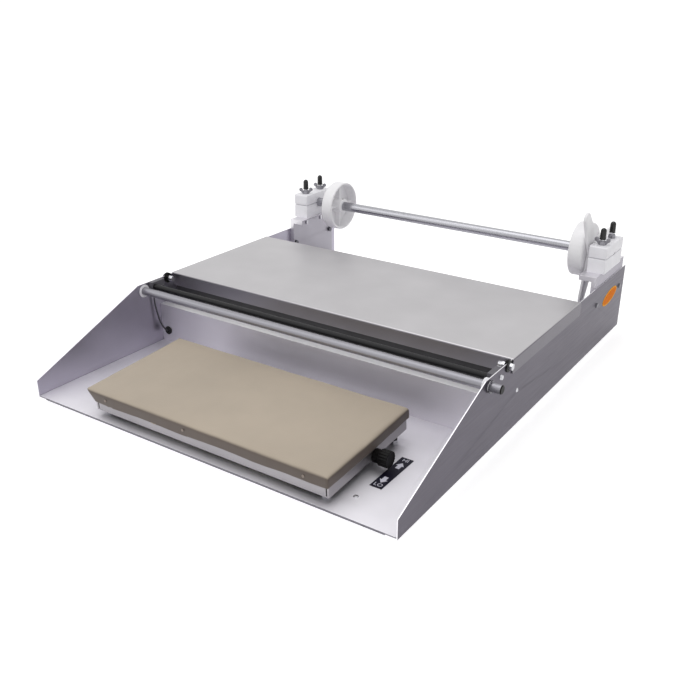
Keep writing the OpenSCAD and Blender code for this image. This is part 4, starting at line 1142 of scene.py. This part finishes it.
    def cut_open(self, piece: bpy.types.Object) -> None:
        """Cuts the form off along the lower edge of the band."""
        rise = self.band - self.right_band
        with edit_mesh(piece):
            bpy.ops.mesh.bisect(plane_co=Vector((self.left, 0.0, self.top - self.band)) * MM,
                                plane_no=Vector((-rise, 0.0, self.right - self.left)).normalized(),
                                use_fill=False, clear_inner=True, clear_outer=False)
        for vertex in piece.data.vertices:
            share = (vertex.co.x / MM - self.left) / (self.right - self.left)
            hem = (self.top - self.band + rise * share) * MM
            if abs(vertex.co.z - hem) < self.hem_reach * MM:
                vertex.co.z += noise.noise(vertex.co * self.hem_often) * self.hem_wave * MM


# ------------------------------------------------------------------ thermostat


@dataclass
class Thermostat:
    """Ribbed knob at the right end of the pan and the printed plate below it.

    Args:
        axis_place: Where the knob's axis leaves the pan, in the sheet metal drawing.
        neck_r: Radius of the knob's neck, in millimetres.
        neck: Length of the neck.
        shoulder: Length over which it widens to the grip.
        grip_r: Radius over the ribs.
        grip: Length of the ribbed grip.
        ribs: Number of ribs.
        hollow: Radius between the ribs, as a share of that over them.
        end_rim: Width of the rim round the dished end.
        dish: Depth of the dish.
        mark_ys: Places of the two arrows and the words for low and high, from the plate's front.
        mark_t: Thickness of the printed marks.
        arrow_sizes: Half an arrow's breadth at the shaft and at the head, and half its length.
        arrow_step: Length over which the shaft widens to the head.
        arrow_tip: Breadth of the tip as a share of that of the head.
        letter: Height of the letters.
    """

    axis_place: Point = (199.4, 106.74, 19.99)
    neck_r: float = 8.8
    neck: float = 8.4
    shoulder: float = 0.6
    grip_r: float = 11.0
    grip: float = 12.6
    ribs: int = 18
    hollow: float = 0.93
    end_rim: float = 1.6
    dish: float = 0.8
    mark_ys: tuple[float, ...] = (19.0, 56.0, 6.5, 70.0)
    mark_t: float = 0.06
    arrow_sizes: Point = (2.8, 5.4, 7.0)
    arrow_step: float = 0.05
    arrow_tip: float = 0.04
    letter: float = 9.0

    def build(self) -> None:
        """Makes the knob, the plate and its marks."""
        self.build_knob()
        self.build_plate()

    def build_knob(self) -> None:
        """Makes the knob: a neck, a ribbed grip with hollows between the ribs and a dished end."""
        centre = machine_point(*self.axis_place)
        places = self.ribs * 4
        deselect_all()
        bpy.ops.mesh.primitive_cylinder_add(
            vertices=places, radius=self.neck_r * MM, depth=self.neck * MM,
            location=centre + Vector((self.neck / 2 * MM, 0.0, 0.0)), rotation=(0.0, math.pi / 2, 0.0))
        piece = bpy.context.object
        bake_place(piece)
        end_x = centre.x + self.neck * MM
        ratio = self.grip_r / self.neck_r
        outer = self.grip_r * MM - 2 * NEAR

        def in_hollow(point: Vector) -> bool:
            """Tells whether a point lies between two ribs of the grip."""
            spoke = point - centre
            spoke.x = 0.0
            turn = math.atan2(spoke.z, spoke.y) / (2 * math.pi) * places
            return spoke.length > outer and round(turn) % 4 >= 2

        with edit_mesh(piece):
            select_where(piece, lambda p: p.x > end_x - NEAR)
            extrude((self.shoulder * MM, 0.0, 0.0))
            widen((1.0, ratio, ratio), (end_x, centre.y, centre.z))
            extrude((self.grip * MM, 0.0, 0.0))
            bpy.ops.mesh.inset(thickness=self.end_rim * MM)
            extrude((-self.dish * MM, 0.0, 0.0))
            select_where(piece, in_hollow, Element.VERTEX)
            widen((1.0, self.hollow, self.hollow), centre)
        add_bevel(piece, 0.35, angle=32.0)
        apply_modifiers(piece)
        make_normals_outward(piece)
        shade_by_angle(piece)
        mount_piece(
            piece, "ribbed_knob", BLACK_PHENOLIC, "knob_body", ["thermostat_knob"])

    def build_plate(self) -> None:
        """Makes the plate with its two arrows and the words for low and high."""
        low, high = (Vector(corner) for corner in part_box("dial_plate"))
        plate = cube_between(low / MM, high / MM)
        add_bevel(plate, 0.15, segments=1)
        apply_modifiers(plate)
        mount_piece(plate, "dial_base", DARK_PRINT, "frame", ["dial_plate"])
        on_plate = [Vector(((low.x + high.x) / 2, low.y + y * MM, high.z)) for y in self.mark_ys]
        marks = [self.arrow(on_plate[0], -1.0), self.arrow(on_plate[1], 1.0),
                 self.word("LO", on_plate[2]), self.word("HI", on_plate[3])]
        for number, mark in enumerate(marks, start=1):
            mount_piece(mark, f"dial_mark_{number}", WHITE_PRINT, "frame")

    def arrow(self, place: Vector, way: float) -> bpy.types.Object:
        """Makes a flat block arrow.

        Args:
            place: Its middle, in metres.
            way: 1 points to the rear, -1 to the front.

        Returns:
            The arrow, with its place in its mesh.
        """
        half, head, reach = (size * MM for size in self.arrow_sizes)
        piece = cube_between((place - Vector((half, reach, 0.0))) / MM,
                             (place + Vector((half, 0.0, self.mark_t * MM))) / MM)
        with edit_mesh(piece):
            select_where(piece, lambda p: p.y > place.y - NEAR)
            extrude((0.0, self.arrow_step * MM, 0.0))
            widen((head / half, 1.0, 1.0), place)
            extrude((0.0, reach, 0.0))
            widen((self.arrow_tip, 1.0, 1.0), place)
            if way < 0:
                bpy.ops.mesh.select_all(action="SELECT")
                widen((-1.0, -1.0, 1.0), place)
        make_normals_outward(piece)
        return piece

    def word(self, letters: str, place: Vector) -> bpy.types.Object:
        """Makes a printed word that reads from the front of the machine.

        Args:
            letters: The word.
            place: Its middle, in metres.

        Returns:
            The word as a mesh, with its place in it.
        """
        deselect_all()
        bpy.ops.object.text_add(location=place)
        piece = bpy.context.object
        piece.data.body = letters
        piece.data.size = self.letter * MM
        piece.data.align_x = "CENTER"
        piece.data.align_y = "CENTER"
        piece.data.extrude = self.mark_t / 2 * MM
        bpy.ops.object.convert(target="MESH")
        piece = bpy.context.object
        bake_place(piece)
        return piece


# ------------------------------------------------------------------ roll holder


@dataclass
class RollHolder:
    """Split clamp blocks, their studs and nuts, the roll shaft, bobbins and lock.

    Args:
        stud_x: Distance of the studs from the middle of the machine, in millimetres.
        stud_ys: Places of the two studs of a block.
        cap_z: Height of the mouth of the caps.
        cap_r: Radius of a cap.
        cap_h: Height of a cap.
        mouth_r: Radius of its mouth.
        bead: How far the bead round the mouth stands out.
        bead_h: Height of the bead.
        bead_end: Height at which it has run out.
        taper: How much smaller in radius the cap is at its top.
    """

    stud_x: float = 284.0
    stud_ys: tuple[float, float] = (623.5, 668.5)
    cap_z: float = 175.3
    cap_r: float = 4.75
    cap_h: float = 18.0
    mouth_r: float = 3.0
    bead: float = 0.3
    bead_h: float = 1.0
    bead_end: float = 1.4
    taper: float = 0.2

    def build(self) -> None:
        """Makes every piece of the roll holder."""
        for side in ("left", "right"):
            self.soften(f"{side}_lower_block", 0.8, WHITE_PLASTIC, "frame", "white_plastic")
            self.soften(f"{side}_upper_block", 0.8, WHITE_PLASTIC, f"{side}_clamp", "white_plastic")
            for end in ("front", "rear"):
                self.soften(f"{side}_{end}_wing_nut", 0.5, CAST_NUT, f"{side}_{end}_nut", "bright_screw")
        self.soften("left_bobbin", 0.5, NYLON, "roll_shaft_body", "white_plastic")
        self.soften("right_bobbin", 0.5, NYLON, "right_bobbin_body", "white_plastic")
        self.soften("wing_lock", 1.4, NYLON, "lock_body", "white_plastic")
        self.build_caps()

    @staticmethod
    def soften(node: str, edge: float, finish: Finish, body: str, slot: str) -> None:
        """Replaces a solid by a copy with moulded edges."""
        piece = softened_copy(node, edge)
        mount_piece(piece, f"{node}_moulded", finish, body, [node])

    def build_caps(self) -> None:
        """Makes the four dipped caps: a bead at the mouth, a slight taper and a round end."""
        bead = self.cap_r + self.bead
        profile = [(0.0, self.mouth_r), (0.0, self.cap_r), (self.bead, bead), (self.bead_h, bead),
                   (self.bead_end, self.cap_r)]
        for slope in range(0, 90, 15):
            turn = math.radians(slope)
            profile.append((self.cap_h - self.cap_r * (1 - math.sin(turn)),
                            (self.cap_r - self.taper) * math.cos(turn)))
        profile.append((self.cap_h, 0.0))
        for side in (-1, 1):
            for number, y in enumerate(self.stud_ys, start=1):
                place = machine_point(side * self.stud_x, y, self.cap_z)
                piece = turned_form(profile, place, Axis.Z, steps=32)
                shade_by_angle(piece)
                name = f"{'left' if side < 0 else 'right'}_cap_{number}"
                mount_piece(piece, name, BLACK_CAP, "frame", ["stud_caps"])


# ------------------------------------------------------------------ ridge


@dataclass
class Ridge:
    """Film roller, covered cutting rod and its holders at the top of the bay.

    Args:
        rod_y: Place of the rod's axis.
        rod_z: Height of the rod's axis.
        rod_half: Half the length of the rod.
        rod_r: Radius of the sleeve's solid.
        shrink: How much smaller in radius the sleeve is than its solid.
        end_step: The same for the sleeve's ends.
        ring_mm: Spacing of the rings that the sleeve is made of.
        ripple: The most by which its radius varies, in millimetres.
        ripple_often: Number of ripples to the millimetre.
        seed: Picks the pattern of the ripples.
        strip: Two corners of the dark strip behind the rod, painted shade.
        strip_fall: How much lower the left end of the strip's upper edge is.
    """

    rod_y: float = 228.15
    rod_z: float = 99.5
    rod_half: float = 291.5
    rod_r: float = 4.5
    shrink: float = 0.12
    end_step: float = 0.2
    ring_mm: float = 3.5
    ripple: float = 0.11
    ripple_often: float = 0.11
    seed: float = 3.7
    strip: tuple[Point, Point] = ((-292.5, 280.7, 66.0), (291.0, 281.5, 105.0))
    strip_fall: float = 6.0

    def build(self) -> None:
        """Makes the sleeve and dresses the rest."""
        self.build_sleeve()
        self.build_shade_strip()
        for node, finish, edge in (
            ("film_roller", ROLLER_TUBE, 0.0), ("roller_plugs", BLACK_PHENOLIC, 0.2),
            ("roller_rings", DARK_SCREW, 0.2), ("roller_bushes", WHITE_PLASTIC, 0.4),
            ("rod_holders", GREY_PHENOLIC, 0.5), ("holder_screws", BRIGHT_SCREW, 0.5),
            ("terminal_bolts", BRIGHT_SCREW, 0.5), ("terminal_washers", BLACK_PHENOLIC, 0.3),
            ("terminal_nuts", BRIGHT_SCREW, 0.5),
        ):
            dress_node(node, finish)
            if edge:
                soften_node(node, edge)

    def build_shade_strip(self) -> None:
        """Makes a dark strip against the table's support wall, painted shade where the wall lies in shade
        behind the rod.
        """
        low, high = self.strip
        piece = cube_between(machine_point(*low) / MM, machine_point(*high) / MM)
        upper = machine_point(*high).z
        with edit_mesh(piece):
            select_where(piece, lambda p: p.x < 0 and p.z > upper - NEAR, Element.VERTEX)
            bpy.ops.transform.translate(value=(0.0, 0.0, -self.strip_fall * MM))
        add_bevel(piece, 0.2, segments=1)
        apply_modifiers(piece)
        mount_piece(piece, "painted_shade_strip", SHADE_STRIP, "frame")

    def build_sleeve(self) -> None:
        """Makes the shrunk sleeve of the cutting rod, slightly uneven along its length."""
        length = 2 * self.rod_half
        rings = round(length / self.ring_mm)
        profile = [(0.0, 0.0), (0.0, self.rod_r - self.end_step)]
        for k in range(1, rings):
            along = length * k / rings
            ripple = noise.noise(Vector((along * self.ripple_often, 0.0, self.seed))) * self.ripple
            profile.append((along, self.rod_r - self.shrink + ripple))
        profile += [(length, self.rod_r - self.end_step), (length, 0.0)]
        start = machine_point(-self.rod_half, self.rod_y, self.rod_z)
        piece = turned_form(profile, start, Axis.X, steps=28)
        shade_by_angle(piece)
        mount_piece(piece, "rod_sleeve", BLACK_SLEEVE, "frame", ["cutter_rod"])


# ------------------------------------------------------------------ small parts


# finish of each solid and the width of its broken edges, in millimetres
SMALL_PARTS = {
    "panel_rivets": (BRIGHT_SCREW, 0.3), "bracket_screws": (DARK_SCREW, 0.6),
    "clamp_studs": (BRIGHT_SCREW, 0.0), "stud_nuts": (DARK_SCREW, 0.5),
    "roll_shaft": (SHAFT_STEEL, 0.0), "bobbin_set_screw": (BLACK_PHENOLIC, 0.0),
    "heated_plate": (CAST_ALLOY, 0.0),
    "heating_element": (PlainTone("mica_element", tint="#a08a58"), 0.0),
    "insulation_board": (PlainTone("insulation_board", tint="#d6d0c0", roughness=0.9), 0.0),
    "pad_legs": (BLACK_PHENOLIC, 0.4), "leg_nuts": (BRIGHT_SCREW, 0.4),
    "thermostat_body": (BLACK_PHENOLIC, 0.5), "base_screw": (BRIGHT_SCREW, 0.2),
    "switch_housing": (BLACK_PHENOLIC, 0.5),
    "switch_rocker": (PlainTone("red_rocker", tint="#8f1c1c", roughness=0.3), 0.3),
    "cable_gland": (BLACK_CAP, 0.4),
    "transformer_core": (PlainTone("varnished_core", tint="#54555b"), 0.0),
    "transformer_coils": (
        PlainTone("copper_winding", tint="#b8863c", roughness=0.35, metallic=1.0), 0.8),
    "terminal_strip": (PlainTone("strip_polyamide", tint="#e0dac8"), 0.4),
}


def dress_small_parts() -> None:
    """Dresses the fasteners, the parts inside and the fittings on the rear wall."""
    for node, (finish, edge) in SMALL_PARTS.items():
        dress_node(node, finish)
        if edge:
            soften_node(node, edge)


def main() -> None:
    """Builds the studio and the machine, assembly by assembly."""
    logging.basicConfig(level=logging.INFO, format="%(name)s: %(message)s")
    Studio().build()
    for assembly in (CutterLead, SheetFrame, SideSticker, PadCover, Thermostat, RollHolder, Ridge):
        assembly().build()
    dress_small_parts()


if __name__ == "__main__":
    main()
